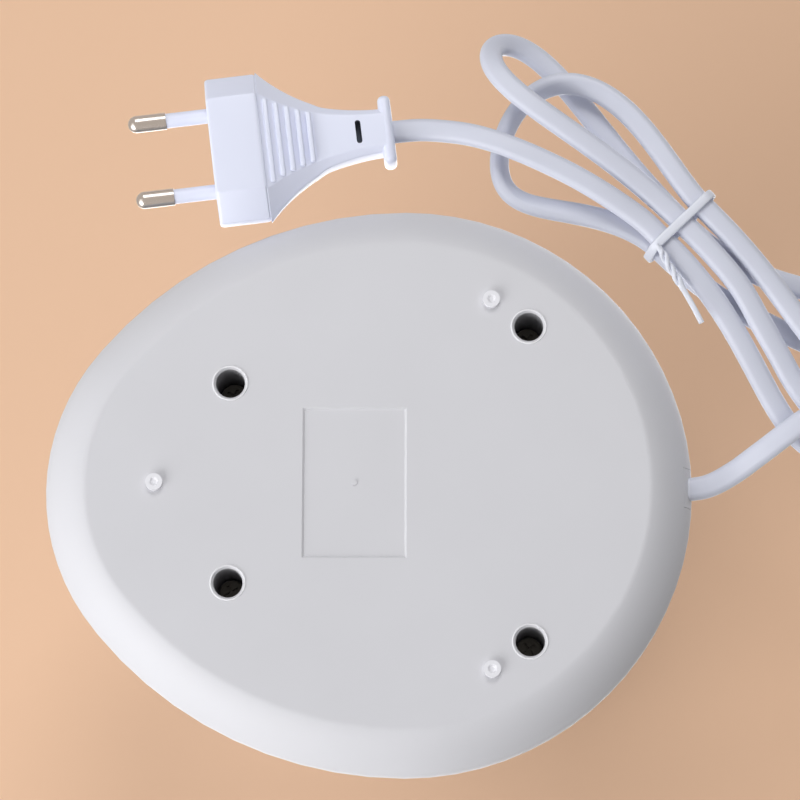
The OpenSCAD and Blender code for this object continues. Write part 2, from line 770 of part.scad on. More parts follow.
module outer_housing() {
  color("whitesmoke")
    difference() {
      union() {
        skin(housing_rings(), ring_shaped = true);
        intersection() {
          housing_inside();
          skin([for (level = housing_levels) body_ring(seam_z + level * (rim_z - seam_z), wall / 2)]);
        }
        at_dial()
          translate([0, 0, dial_rise - 11])
            cylinder(d = dial_d, h = 11);
      }
      at_well() {
        translate([0, 0, ledge_z])
          cylinder(r = rim_hole_r, h = body_h);
        translate([0, 0, deck_z - past])
          cylinder(r = ledge_hole_r, h = body_h);
        for (side = [0, 180])
          rotate(side)
            translate([bar_reach, 0, bar_z - past])
              cylinder(d = small_d + 2 * thread_gap, h = small_len + past);
      }
      at_screws()
        translate([0, 0, post_top - past])
          cylinder(d = screw_d + 2 * thread_gap, h = pilot_deep + past);
      at_dial() {
        translate([0, 0, dial_floor - 30])
          cylinder(d = pocket_d, h = 30);
        translate([0, 0, dial_floor - past])
          cylinder(d = bush_d + 2 * slip, h = wall + 2 * past);
        translate([0, -lens_off, dial_floor - past])
          cylinder(d = lens_d + 2 * slip, h = wall + 2 * past);
      }
    }
  color("whitesmoke")
    at_dial()
      on_both_sides(board_post)
        translate([0, 0, -board_deep])
          difference() {
            cylinder(d = board_post_d, h = board_deep + dial_floor + bite);
            translate([0, 0, -past])
              cylinder(d = small_d + 2 * thread_gap, h = small_len + past);
          }
}

// Section of the pot, from the axis outwards
module pot_section() {
  difference() {
    union() {
      translate([0, pot_under])
        square([pot_r - pot_round, pot_floor + pot_round]);
      translate([pot_r - pot_round, pot_under + pot_round])
        circle(pot_round);
      translate([0, pot_under + pot_round])
        square([pot_r, flange_top - pot_under - pot_round]);
      translate([0, flange_z])
        square([flange_r - flange_t / 2, flange_t]);
      translate([flange_r - flange_t / 2, flange_z + flange_t / 2])
        circle(d = flange_t);
    }
    translate([0, well_floor])
      square([well_r - pot_round, well_deep + past]);
    translate([well_r - pot_round, well_floor + pot_round])
      circle(pot_round);
    translate([0, well_floor + pot_round])
      square([well_r, well_deep]);
    translate([-pot_round - past, 0])
      square([pot_round + past, body_h]);
  }
}

module heating_pot() {
  color("silver")
    at_well() {
      rotate_extrude($fn = 120)
        pot_section();
      translate([0, 0, stud_end])
        cylinder(d = stud_d, h = pot_under - stud_end + bite);
    }
}

module pot_gasket() {
  color("lightgray")
    at_well()
      translate([0, 0, ledge_z])
        difference() {
          cylinder(r = flange_r, h = gasket_t);
          translate([0, 0, -past])
            cylinder(r = pot_r + slip, h = gasket_t + 2 * past);
        }
}

// Turned so that the gap between the tube's ends faces the nose
module at_tube() {
  at_well()
    translate([0, 0, tube_z])
      rotate(270 + (360 - tube_sweep) / 2)
        children();
}

module tube_lugs(d) {
  for (a = [0, tube_sweep])
    rotate(a)
      translate([tube_ring_r, 0, -tube_d / 2 - 5])
        cylinder(d = d, h = tube_d / 2 + 5);
}

module heater_plate() {
  color("darkgray")
    difference() {
      at_well()
        translate([0, 0, pot_under]) {
          translate([0, 0, -plate_t])
            cylinder(r = plate_r, h = plate_t);
          difference() {
            translate([0, 0, -channel_h])
              cylinder(r = tube_ring_r + channel_w / 2, h = channel_h);
            translate([0, 0, -channel_h - past])
              cylinder(r = tube_ring_r - channel_w / 2, h = channel_h + past - plate_t);
          }
        }
      at_well()
        translate([0, 0, pot_under - plate_t - past])
          cylinder(d = stud_d + 0.6, h = plate_t + 2 * past);
      at_tube() {
        rotate_extrude($fn = 96)
          translate([tube_ring_r, 0])
            circle(d = tube_d + 2 * running);
        tube_lugs(lug_d + 1);
      }
    }
}

module heating_tube() {
  color("dimgray")
    at_tube() {
      rotate_extrude(angle = tube_sweep, $fn = 96)
        translate([tube_ring_r, 0])
          circle(d = tube_d);
      tube_lugs(lug_d);
    }
}

module thermal_cutout() {
  color("ivory")
    at_well()
      translate([-sensor_off, 0, strap_top]) {
        cylinder(d = cutout_d, h = sensor_h - 1.5);
        translate([0, 0, sensor_h - 1.5])
          cylinder(d = cutout_d - 1.5, h = 1.5);
        for (side = [-1, 1])
          translate([-1.6, side * 6.5 - 1.5, 1.5])
            cube([3.2, 3, 0.8]);
      }
}

module temperature_sensor() {
  color("goldenrod")
    at_well()
      translate([sensor_off, 0, strap_top]) {
        cylinder(d = sensor_d, h = sensor_h - 2);
        cylinder(d = sensor_d - 2.4, h = sensor_h);
      }
}

module sensor_strap() {
  color("silver")
    at_well()
      translate([0, 0, strap_top - strap_t])
        difference() {
          linear_extrude(strap_t)
            stadium(strap_len, strap_w);
          translate([0, 0, -past])
            cylinder(d = stud_d + 0.6, h = strap_t + 2 * past);
        }
}

module strap_nut() {
  color("silver")
    at_well()
      translate([0, 0, strap_top - strap_t - nut_h])
        nut();
}

module clamp_bar() {
  color("silver")
    at_well()
      translate([0, 0, bar_z - strap_t])
        difference() {
          linear_extrude(strap_t)
            stadium(bar_len, bar_w);
          translate([0, 0, -past])
            cylinder(d = stud_d + 0.6, h = strap_t + 2 * past);
          on_both_sides(bar_reach)
            translate([0, 0, -past])
              cylinder(d = small_d + 0.3, h = strap_t + 2 * past);
        }
}

module bar_nut() {
  color("silver")
    at_well()
      translate([0, 0, bar_z - strap_t - nut_h])
        nut();
}

module bar_screws() {
  color("dimgray")
    at_well()
      on_both_sides(bar_reach)
        translate([0, 0, bar_z - strap_t])
          screw(small_d, small_len, small_head_d, small_head_h);
}

module control_board() {
  color("darkgreen")
    at_dial()
      translate([0, 0, -board_deep - board_t])
        difference() {
          translate([-board_w / 2, -board_h / 2, 0])
            cube([board_w, board_h, board_t]);
          on_both_sides(board_post)
            translate([0, 0, -past])
              cylinder(d = small_d + 0.3, h = board_t + 2 * past);
        }
}

module board_screws() {
  color("dimgray")
    at_dial()
      on_both_sides(board_post)
        translate([0, 0, -board_deep - board_t])
          screw(small_d, small_len, small_head_d, small_head_h);
}

module switch_body() {
  color("slategray")
    at_dial()
      difference() {
        union() {
          translate([-switch_side / 2, -switch_side / 2, switch_back])
            cube([switch_side, switch_side, switch_deep]);
          translate([0, 0, switch_front - bite])
            cylinder(d = bush_d, h = dial_rise - switch_front + bite);
        }
        translate([0, 0, shaft_foot - running])
          cylinder(d = shaft_d + 2 * running, h = board_deep + dial_rise);
      }
}

// A round shaft with a flat where the knob grips it
module switch_shaft() {
  color("silver")
    at_dial()
      difference() {
        translate([0, 0, shaft_foot])
          cylinder(d = shaft_d, h = shaft_end - shaft_foot);
        translate([-shaft_d, shaft_d / 2 - shaft_flat, knob_z])
          cube([2 * shaft_d, shaft_d, knob_h]);
      }
}

module control_knob() {
  color("white")
    at_dial()
      translate([0, 0, knob_z])
        difference() {
          union() {
            cylinder(d = knob_d, h = 2.4);
            translate([0, 0, 2.4])
              cylinder(d1 = knob_d - 3, d2 = knob_d - 5, h = knob_h - 2.4 - knob_edge);
            translate([0, 0, knob_h - knob_edge])
              cylinder(d1 = knob_d - 5, d2 = knob_d - 5 - 2 * knob_edge, h = knob_edge);
          }
          for (i = [0 : flute_count - 1])
            rotate(i * 360 / flute_count)
              translate([knob_d / 2 - 0.9, 0, 2.4])
                cylinder(d = 2.6, h = knob_h);
          translate([-0.8, 3.5, knob_h - 0.6])
            cube([1.6, knob_d / 2, past]);
          translate([0, 0, -past])
            difference() {
              cylinder(d = shaft_d + 2 * thread_gap, h = knob_h - 2 + past + thread_gap);
              translate([-shaft_d, shaft_d / 2 - shaft_flat + thread_gap, past])
                cube([2 * shaft_d, shaft_d, knob_h]);
            }
        }
}

module on_board(at, size) {
  at_dial()
    translate([at.x - size.x / 2, at.y - size.y / 2, -board_deep - board_t - size.z])
      cube(size);
}

module relay() {
  color("royalblue")
    on_board(relay_at, relay_size);
}

module film_capacitor() {
  color("orange")
    on_board(capacitor_at, capacitor_size);
}

module terminal_block() {
  color("forestgreen")
    on_board(terminal_at, terminal_size);
}

module indicator_led() {
  color("orangered")
    at_dial()
      translate([0, -lens_off + 2, -board_deep])
        cylinder(d = 3, h = board_deep + dial_floor - 3);
}

module indicator_lens() {
  color("tomato")
    at_dial()
      translate([0, -lens_off, 0]) {
        translate([0, 0, dial_floor])
          cylinder(d = lens_d, h = wall + 0.3);
        translate([0, 0, dial_floor - 1])
          cylinder(d = lens_d + 1, h = 1);
      }
}

module bottle_basket() {
  color("aliceblue")
    at_well()
      difference() {
        union() {
          translate([0, 0, basket_z])
            cylinder(r1 = basket_r - basket_taper, r2 = basket_r, h = basket_taper, $fn = 120);
          translate([0, 0, basket_z + basket_taper])
            cylinder(r = basket_r, h = basket_h - basket_taper, $fn = 120);
          intersection() {
            translate([0, 0, basket_z + basket_taper])
              cylinder(r = basket_r, h = basket_h + tab_h - basket_taper, $fn = 120);
            translate([-basket_r - past, -tab_w / 2, basket_z + basket_h - bite])
              cube([2 * basket_r + 2 * past, tab_w, tab_h + bite]);
          }
        }
        translate([0, 0, basket_z + basket_floor_t])
          cylinder(r1 = basket_r - basket_wall - inner_taper, r2 = basket_r - basket_wall, h = inner_taper,
            $fn = 120);
        translate([0, 0, basket_z + basket_floor_t + inner_taper])
          cylinder(r = basket_r - basket_wall, h = basket_h + tab_h, $fn = 120);
        for (i = [0 : slot_count - 1])
          rotate((i + 0.5) * 360 / slot_count)
            translate([basket_r, 0, (slot_z + slot_top) / 2])
              rotate([0, 90, 0])
                linear_extrude(4 * basket_wall, center = true)
                  stadium(slot_top - slot_z, slot_w);
        for (i = [0 : 5])
          rotate(i * 60)
            translate([basket_r * 0.55, 0, basket_z - past])
              cylinder(d = 12, h = basket_floor_t + 2 * past);
        translate([0, 0, basket_z - past])
          cylinder(d = 14, h = basket_floor_t + 2 * past);
      }
}

module cord_gland() {
  color("white")
    difference() {
      union() {
        intersection() {
          gland_notch(-slip);
          translate([-gland_w, gland_in, 0])
            cube([2 * gland_w, rear_y - gland_in, seam_z - slip / 2]);
          skin([for (step = concat(edge_profile, [[0, seam_z]])) egg_ring(step[0], step[1])]);
        }
        translate([-gland_w / 2 - flange_out, gland_in, gland_z - gland_h / 2])
          cube([gland_w + 2 * flange_out, 2, seam_z - lip_root - gland_z + gland_h / 2 - slip]);
      }
      translate([0, rear_y + past, gland_z])
        rotate([90, 0, 0])
          linear_extrude(rear_y - gland_in + 2 * past)
            stadium(cord_w + 2 * slip, cord_t + 2 * slip);
    }
}

module cord_clamp() {
  color("white")
    difference() {
      translate([-clamp_len / 2, clamp_y - clamp_w / 2, gland_z + cord_t / 2])
        cube([clamp_len, clamp_w, clamp_t]);
      on_both_sides(clamp_post_x)
        translate([0, clamp_y, gland_z])
          cylinder(d = small_d + 0.3, h = cord_t + clamp_t + past);
    }
}

module clamp_screws() {
  color("dimgray")
    on_both_sides(clamp_post_x)
      translate([0, clamp_y, gland_z + cord_t / 2 + clamp_t])
        mirror([0, 0, 1])
          screw(small_d, small_len, small_head_d, small_head_h);
}

module cord_tail() {
  color("white")
    translate([0, gland_out, gland_z])
      rotate([90, 0, 0])
        linear_extrude(gland_out - tail_in)
          stadium(cord_w, cord_t);
}

// A round wire along a route, with the ways it leaves and arrives
module wire(route, first, last, d = wire_d) {
  path = smooth(route);
  skin([for (i = [0 : len(path) - 1])
    oval_ring(path[i], way_at(path, i, first, last), [1, 0, 0], 0, d, d, wire_sides)]);
}

module live_wire() {
  color("saddlebrown")
    wire(live_route, [0, -1, 0], [0, sin(dial_tilt), cos(dial_tilt)]);
}

module neutral_wire() {
  color("royalblue")
    wire(neutral_route, [0, -1, 0], [0, 0, 1]);
}

module heater_wire() {
  color("saddlebrown")
    wire(heater_route, [0, -sin(dial_tilt), -cos(dial_tilt)], [0, 0, 1]);
}

module link_wire() {
  color("saddlebrown")
    wire(link_route, [0, 0, -1], [0, 0, 1]);
}

module sensor_lead() {
  color("black")
    wire(sensor_route, [0, 1, 0], [0, -cos(dial_tilt), sin(dial_tilt)], 1.8);
}

module cord_lead() {
  color("white")
    skin(lead_rings(smooth(lead_route), along, [0, -1, 0]));
}

module cord_hank() {
  color("white")
    skin(hank_rings(hank_steps(lobe_rings), cord_sides));
}

module cord_plug_lead() {
  color("white")
    skin(lead_rings(smooth(plug_route), plug_way, along));
}

// Outline of the tie round the five strands, at a radius about the ends of the outer strands
module tie_outline(r) {
  end = (cord_w - cord_t) / 2;
  corners = [
    [strands[2][0] + end, strand_low], [strands[4][0] + end, strand_high],
    [strands[3][0] - end, strand_high], [strands[0][0] - end, strand_low]];
  for (p = corners)
    translate(p)
      circle(r);
  polygon([for (i = [0 : 3])
    let (
      p = corners[i],
      q = corners[(i + 1) % 4],
      out = unit([q.y - p.y, p.x - q.x]) * r)
    for (c = [p, q]) c + out]);
}

module cord_tie() {
  inner = cord_t / 2 + tie_gap;
  path = smooth(tail_route);
  last = len(path) - 1;
  color("white") {
    translate(tie_at)
      rotate(tie_turn - 90)
        rotate([90, 0, 0])
          linear_extrude(tie_w, center = true)
            difference() {
              tie_outline(inner + tie_t);
              tie_outline(inner);
            }
    skin([for (i = [0 : last])
      oval_ring(path[i], way_at(path, i, along, along), [0, 0, 1],
        tail_twist * max(0, min(1, i / last * 1.6 - 0.3)), tie_w, tie_t, cord_sides)]);
  }
}

// Local x runs from the plug's front to the lead, local z through its thickness
module at_plug() {
  translate([plug_at.x, plug_at.y, plug_mid])
    rotate(plug_turn)
      translate([-plug_len, 0, 0])
        children();
}

module on_both_pins() {
  for (side = [-1, 1])
    translate([0, side * pin_gap / 2, 0])
      rotate([0, 90, 0])
        children();
}

// Half width, half thickness and end slope of the plug at a distance from its front
function plug_half(d) = d <= block_len ? plug_w / 2 :
  neck_w / 2 + shoulder_r - sqrt(pow(shoulder_r, 2) - pow(waist_at - d, 2));

function plug_face(d) = d <= block_len ? plug_mid :
  neck_t / 2 + face_r - sqrt(pow(face_r, 2) - pow(waist_at - d, 2));

function plug_slope(d) =
  neck_slope + (end_slope - neck_slope) * (2 * plug_half(d) - neck_w) / (plug_w - neck_w);

// One ring of the plug: flat faces, with ends that slope in from its greatest width
function plug_ring(d) =
  let (
    half = plug_half(d),
    face = plug_face(d),
    flat_half = half - plug_slope(d),
    end_half = face - slope_rise * plug_slope(d))
  [[d, half, end_half], [d, flat_half, face], [d, -flat_half, face], [d, -half, end_half],
    [d, -half, -end_half], [d, -flat_half, -face], [d, flat_half, -face], [d, half, -end_half]];

function plug_rings() = concat(
  [plug_ring(0), plug_ring(block_len)],
  [for (i = [0 : shoulder_steps])
    plug_ring(block_len + running + (plug_len - collar_t / 2 - block_len - running) * i / shoulder_steps)]);

module plug_ridges() {
  for (i = [0 : ridge_count - 1]) {
    d = ridge_first + i * ridge_pitch;
    half = plug_half(d) - plug_slope(d) - 0.2;
    top = plug_face(d) + ridge_rise;
    translate([d - ridge_w / 2, -half, -top])
      cube([ridge_w, 2 * half, 2 * top]);
  }
}

module plug_body() {
  color("white")
    at_plug()
      difference() {
        union() {
          skin(plug_rings());
          plug_ridges();
          translate([plug_len - collar_t, -collar_w / 2, -neck_t / 2 - 0.4])
            cube([collar_t, collar_w, neck_t + 0.8]);
        }
        for (side = [-1, 1])
          translate([slot_at - slot_size.x / 2, -slot_size.y / 2, side * neck_t / 2 - 1])
            cube([slot_size.x, slot_size.y, 2]);
        on_both_pins()
          translate([0, 0, -past])
            cylinder(d = core_d + 2 * thread_gap, h = past + core_in + slip);
      }
}

module plug_pins() {
  color("silver")
    at_plug()
      on_both_pins() {
        translate([0, 0, -sleeve_len - slip])
          cylinder(d = core_d, h = sleeve_len + slip + core_in);
        translate([0, 0, pin_d / 2 - pin_len])
          cylinder(d = pin_d, h = pin_len - sleeve_len - pin_d / 2);
        translate([0, 0, pin_d / 2 - pin_len])
          sphere(d = pin_d);
      }
}

module plug_sleeves() {
  color("white")
    at_plug()
      on_both_pins()
        translate([0, 0, -sleeve_len + running])
          difference() {
            cylinder(d = sleeve_d, h = sleeve_len - 2 * running);
            translate([0, 0, -past])
              cylinder(d = core_d + 2 * thread_gap, h = sleeve_len + 2 * past);
          }
}

base_cover();
base_screws();
outer_housing();
heating_pot();
pot_gasket();
heater_plate();
heating_tube();
thermal_cutout();
temperature_sensor();
sensor_strap();
strap_nut();
clamp_bar();
bar_nut();
bar_screws();
control_board();
board_screws();
switch_body();
switch_shaft();
control_knob();
relay();
film_capacitor();
terminal_block();
indicator_led();
indicator_lens();
bottle_basket();
cord_gland();
cord_clamp();
clamp_screws();
cord_tail();
live_wire();
neutral_wire();
heater_wire();
link_wire();
sensor_lead();
cord_lead();
cord_hank();
cord_plug_lead();
cord_tie();
plug_body();
plug_pins();
plug_sleeves();
union() {  // cord_hank
  echo(str("Least gap between strands of the hank, mm: ", hank_gap()));
  echo(str("Length of the lead outside the base, mm: ", route_length(smooth(plug_route))
    + route_length([for (step = hank_steps(lobe_rings)) step[0]]) + route_length(smooth(lead_route))));
}
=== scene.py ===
import math

import bmesh
import bpy
from mathutils import Matrix, Vector


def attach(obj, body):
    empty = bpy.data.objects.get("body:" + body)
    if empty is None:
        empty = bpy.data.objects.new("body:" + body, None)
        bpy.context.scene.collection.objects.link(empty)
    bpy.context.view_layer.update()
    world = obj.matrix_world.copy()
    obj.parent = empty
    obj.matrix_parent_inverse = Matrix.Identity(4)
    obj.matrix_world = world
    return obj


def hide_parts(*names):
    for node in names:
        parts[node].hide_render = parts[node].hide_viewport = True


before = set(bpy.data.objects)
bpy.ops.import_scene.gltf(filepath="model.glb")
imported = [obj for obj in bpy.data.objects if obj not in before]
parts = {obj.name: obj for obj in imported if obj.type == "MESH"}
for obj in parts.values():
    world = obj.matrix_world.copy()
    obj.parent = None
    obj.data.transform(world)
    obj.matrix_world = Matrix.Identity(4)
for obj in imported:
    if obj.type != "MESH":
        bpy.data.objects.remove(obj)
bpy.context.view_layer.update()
mm = 0.001
weldDistance = 1e-6
placeTolerance = 1e-5
print("frame loaded with", len(parts), "nodes")


# small helpers that every piece uses
def deselectAll():
    if bpy.context.object and bpy.context.object.mode != "OBJECT":
        bpy.ops.object.mode_set(mode="OBJECT")
    bpy.ops.object.select_all(action="DESELECT")


def activate(piece):
    deselectAll()
    piece.select_set(True)
    bpy.context.view_layer.objects.active = piece


def cleanUp(piece, angle):
    activate(piece)
    bpy.ops.object.mode_set(mode="EDIT")
    bpy.ops.mesh.select_all(action="SELECT")
    bpy.ops.mesh.remove_doubles(threshold=weldDistance)
    bpy.ops.mesh.normals_make_consistent(inside=False)
    bpy.ops.object.mode_set(mode="OBJECT")
    bpy.ops.object.shade_smooth_by_angle(angle=math.radians(angle))
    return piece


def joinPieces(name, pieces):
    deselectAll()
    for piece in pieces:
        piece.select_set(True)
    bpy.context.view_layer.objects.active = pieces[0]
    if len(pieces) > 1:
        bpy.ops.object.join()
    joined = bpy.context.object
    joined.name = name
    joined.data.name = name
    return joined


def settle(piece):
    # the place goes into the mesh
    activate(piece)
    bpy.ops.object.transform_apply(location=True, rotation=True, scale=True)
    return piece


# camera of the photograph: under the warmer, looking up at its base
cameraView = {
    "place": (-0.1402, 0.0186, -0.7772),
    "towards": (0.2049, -0.0144, 1.0),
    "lens": 155.25,
    "sensor": 36.0,
    "clip": (0.01, 20),
}


def makeCamera(view):
    deselectAll()
    bpy.ops.object.camera_add()
    camera = bpy.context.object
    camera.name = "photoCamera"
    camera.data.lens = view["lens"]
    camera.data.sensor_width = view["sensor"]
    camera.data.clip_start, camera.data.clip_end = view["clip"]
    ahead = Vector(view["towards"]).normalized()
    right = Vector((0, 1, 0))
    right = (right - ahead * right.dot(ahead)).normalized()
    up = right.cross(ahead)
    turn = Matrix((right, up, -ahead)).transposed().to_4x4()
    camera.matrix_world = Matrix.Translation(view["place"]) @ turn
    bpy.context.scene.camera = camera


makeCamera(cameraView)
print("camera in place")

# flat two-core lead: plug, four lobes of the hank through the tie, then the gland
lead = {
    "width": 5.4,
    "thick": 3.4,
    "lying": 1.9,
    "low": 3.3,
    "high": 7.5,
    "pitch": 6.2,
    "upperLeftShift": 1.2,
    "upperRightAt": 1,
    "tieAt": (62, 73),
    "tieTurn": 136,
    "plugMid": 6.85,
    "plugTurn": 83,
    "glandZ": 10.5,
    "sides": 24,
    "perLobe": 96,
    "perSpan": 7,
    "smoothAngle": 50,
}
tieWay = Vector((math.cos(math.radians(lead["tieTurn"])), math.sin(math.radians(lead["tieTurn"])), 0))
tieSide = Vector((tieWay.y, -tieWay.x, 0))


def byTie(d, n, z):
    return Vector((lead["tieAt"][0], lead["tieAt"][1], z)) + tieWay * d + tieSide * n


strands = {  # place across the tie, height
    "left": (-lead["pitch"], lead["low"]),
    "middle": (0, lead["low"]),
    "right": (lead["pitch"], lead["low"]),
    "upperLeft": (-lead["pitch"] - lead["upperLeftShift"], lead["high"]),
    "upperRight": (lead["upperRightAt"], lead["high"]),
}
lobes = [  # side, from, to, reach, spread, swing, sway, lift, roll, power, skew
    (1, "left", "upperLeft", 66, -16, -1.5, -0.5, 7, 0, 1.3, 5.5),
    (-1, "upperLeft", "right", 46, -14.2, 27, 0, 3.5, 60, 0.7, 10.5),
    (1, "right", "upperRight", 63, -16, 12, -1, 0, 0, 1.3, 0),
    (-1, "upperRight", "middle", 62, 7.6, 1, 5.5, 4, 0, 1.1, 0.5),
]
plugStretch = [Vector(p) for p in (
    (84.9, 5.6, lead["plugMid"]), (85.4, 11.6, lead["plugMid"]), (84.8, 17.7, 5.8), (83.3, 24, 3.8),
    (81.2, 30, 2.5), (78.7, 36, 2), (75.9, 42, lead["lying"]), (72.5, 48.5, lead["lying"]), (68, 55.8, 2.1),
    byTie(-7, -lead["pitch"] - 0.2, 2.9), byTie(0, -lead["pitch"], lead["low"]))]
glandStretch = [Vector(p) for p in (
    byTie(0, 0, lead["low"]), byTie(10, -0.2, 3), byTie(20, -1.2, 2.9), byTie(30, -3.8, 3.8),
    byTie(38, -5.8, 5.2), byTie(44, -7.4, 6.1), byTie(50, -8.5, 6.3), (14.9, 105.5, 6.2), (10.2, 109.2, 5.4),
    (6.6, 113, 4), (5.2, 117.2, 2.8), (6.6, 121, 2.1), (10.4, 122.8, lead["lying"]),
    (14.2, 121.8, lead["lying"]), (16.9, 118.6, lead["lying"]), (17.9, 114.2, lead["lying"]),
    (17.9, 109.4, lead["lying"]), (16.8, 104.8, lead["lying"]), (14.8, 100.6, 2.1), (11.9, 96.4, 3.1),
    (8.8, 92.1, 4.8), (6.4, 88.6, 6.8), (4.2, 85.3, 8.8), (2, 81.4, 10.2), (0.6, 78, lead["glandZ"]),
    (0, 74.4, lead["glandZ"]))]


def smoothRoute(route, steps):
    points = []
    last = len(route) - 1
    for i in range(last):
        b, c = route[i], route[i + 1]
        a = 2 * b - c if i == 0 else route[i - 1]
        d = 2 * c - b if i == last - 1 else route[i + 2]
        for k in range(steps):
            u = k / steps
            square = (2 * a - 5 * b + 4 * c - d) * u * u
            cube = (3 * b - a - 3 * c + d) * u * u * u
            points.append((2 * b + (c - a) * u + square + cube) / 2)
    points.append(route[last])
    return points


def lobePoint(lobe, u):
    side, start, end, reach, spread, swing, sway, lift, roll, power, skew = lobe
    opened = max(0.0, math.sin(math.pi * u))
    n = spread * math.sin(2 * math.pi * u) * opened ** power + skew * opened ** 2
    mix = u * u * (3 - 2 * u)
    baseN = strands[start][0] * (1 - mix) + strands[end][0] * mix
    baseZ = strands[start][1] * (1 - mix) + strands[end][1] * mix
    swung = math.radians(swing * opened)
    d = side * reach * opened
    place = byTie(
        d * math.cos(swung) - n * math.sin(swung),
        d * math.sin(swung) + n * math.cos(swung) + baseN,
        baseZ + lift * opened ** 2 + sway * math.sin(2 * math.pi * u) * opened)
    return place, math.radians(roll) * opened ** 2


def leadCourse():
    # centre line and roll of the lead, from the plug to the gland
    course = [(p, 0.0) for p in smoothRoute(plugStretch, lead["perSpan"])]
    for lobe in lobes:
        course += [lobePoint(lobe, k / lead["perLobe"]) for k in range(1, lead["perLobe"] + 1)]
    course += [(p, 0.0) for p in smoothRoute(glandStretch, lead["perSpan"])[1:]]
    return course


def ovalRing(centre, way, roll, width, thick, sides):
    side = Vector((0, 0, 1)).cross(way).normalized()
    up = way.cross(side)
    flatSide = side * math.cos(roll) + up * math.sin(roll)
    flatUp = up * math.cos(roll) - side * math.sin(roll)
    ring = []
    for i in range(sides):
        a = 2 * math.pi * (i + 0.5) / sides
        x = thick / 2 * math.cos(a) + (width - thick) / 2 * math.copysign(1, math.cos(a))
        ring.append(centre + flatSide * x + flatUp * (thick / 2 * math.sin(a)))
    return ring


def waysAlong(points):
    ways = []
    for i in range(len(points)):
        ahead = points[min(i + 1, len(points) - 1)] - points[max(i - 1, 0)]
        ways.append(ahead.normalized())
    return ways


def tubeFromRings(name, rings, loop=False):
    sides, count = len(rings[0]), len(rings)
    faces = []
    for i in range(count if loop else count - 1):
        a, b = i * sides, (i + 1) % count * sides
        for k in range(sides):
            n = (k + 1) % sides
            faces.append((a + k, a + n, b + n, b + k))
    if not loop:
        faces.append(tuple(reversed(range(sides))))
        faces.append(tuple(range((count - 1) * sides, count * sides)))
    mesh = bpy.data.meshes.new(name)
    mesh.from_pydata([p * mm for ring in rings for p in ring], [], faces)
    piece = bpy.data.objects.new(name, mesh)
    bpy.context.collection.objects.link(piece)
    return piece


def followUv(piece, lengths, sides):
    # u runs round the lead and v along it, in metres
    layer = piece.data.uv_layers.new(name="alongLead")
    for face in piece.data.polygons:
        for corner in face.loop_indices:
            index = piece.data.loops[corner].vertex_index
            layer.data[corner].uv = (index % sides / sides, lengths[index // sides])


def makeLead():
    course = leadCourse()
    points = [p for p, roll in course]
    ways = waysAlong(points)
    plugTurn = math.radians(lead["plugTurn"])
    ways[0] = Vector((math.cos(plugTurn), math.sin(plugTurn), 0))
    ways[-1] = Vector((0, -1, 0))
    rings = [ovalRing(p, ways[i], roll, lead["width"], lead["thick"], lead["sides"])
             for i, (p, roll) in enumerate(course)]
    piece = tubeFromRings("mainsLead", rings)
    lengths = [0.0]
    for i in range(1, len(points)):
        lengths.append(lengths[-1] + (points[i] - points[i - 1]).length * mm)
    followUv(piece, lengths, lead["sides"])
    cleanUp(piece, lead["smoothAngle"])
    path = [tuple(p * mm) for p in reversed(points)]
    return piece, path, lengths[-1]


mainsLead, leadPath, leadLength = makeLead()
print("lead made, length", round(leadLength, 3))

# white tie: a flat strip round the five strands, its two ends twisted together
tie = {
    "gap": 0.4,
    "strip": 0.9,
    "width": 2.2,
    "bandSides": 12,
    "bandPowers": (0.5, 0.6),  # these square the strip's section
    "cornerSteps": 10,
    "tail": (
        (0, -8.6, 0.75), (2.5, -9, 0.95), (5, -9.8, 1.2), (7.5, -10.4, 1.35), (10, -11, 1.35),
        (12.5, -11.7, 1.3), (15, -12.4, 1.1), (17.5, -13.2, 0.8), (20.5, -14.2, 0.7)),
    "tailSteps": 14,
    "twists": 1.75,
    "twistLength": 11,
    "twistRadius": 0.5,
    "twistOpening": 4,
    "twistClosing": 2.5,
    "shortEnd": 1.4,
    "strandWidth": 1.3,
    "strandThick": 0.9,
    "strandSides": 14,
    "smoothAngle": 50,
}


def tieOutline(radius):
    end = (lead["width"] - lead["thick"]) / 2
    corners = [
        Vector((strands[name][0] + side * end, strands[name][1]))
        for name, side in (("right", 1), ("upperRight", 1), ("upperLeft", -1), ("left", -1))]
    outline = []
    for i, corner in enumerate(corners):
        before, after = corner - corners[i - 1], corners[(i + 1) % len(corners)] - corner
        first = math.atan2(-before.x, before.y)
        last = math.atan2(-after.x, after.y)
        sweep = (last - first) % (2 * math.pi)
        for k in range(tie["cornerSteps"] + 1):
            a = first + sweep * k / tie["cornerSteps"]
            out = Vector((math.cos(a), math.sin(a)))
            outline.append((corner + out * radius, out))
    return outline


def signedPower(value, power):
    return math.copysign(abs(value) ** power, value)


def makeTieBand():
    radius = lead["thick"] / 2 + tie["gap"] + tie["strip"] / 2
    alongPower, offPower = tie["bandPowers"]
    rings = []
    for place, out in tieOutline(radius):
        ring = []
        for i in range(tie["bandSides"]):
            a = 2 * math.pi * (i + 0.5) / tie["bandSides"]
            along = tie["width"] / 2 * signedPower(math.cos(a), alongPower)
            at = place + out * (tie["strip"] / 2 * signedPower(math.sin(a), offPower))
            ring.append(byTie(along, at.x, at.y))
        rings.append(ring)
    return tubeFromRings("tieBand", rings, loop=True)


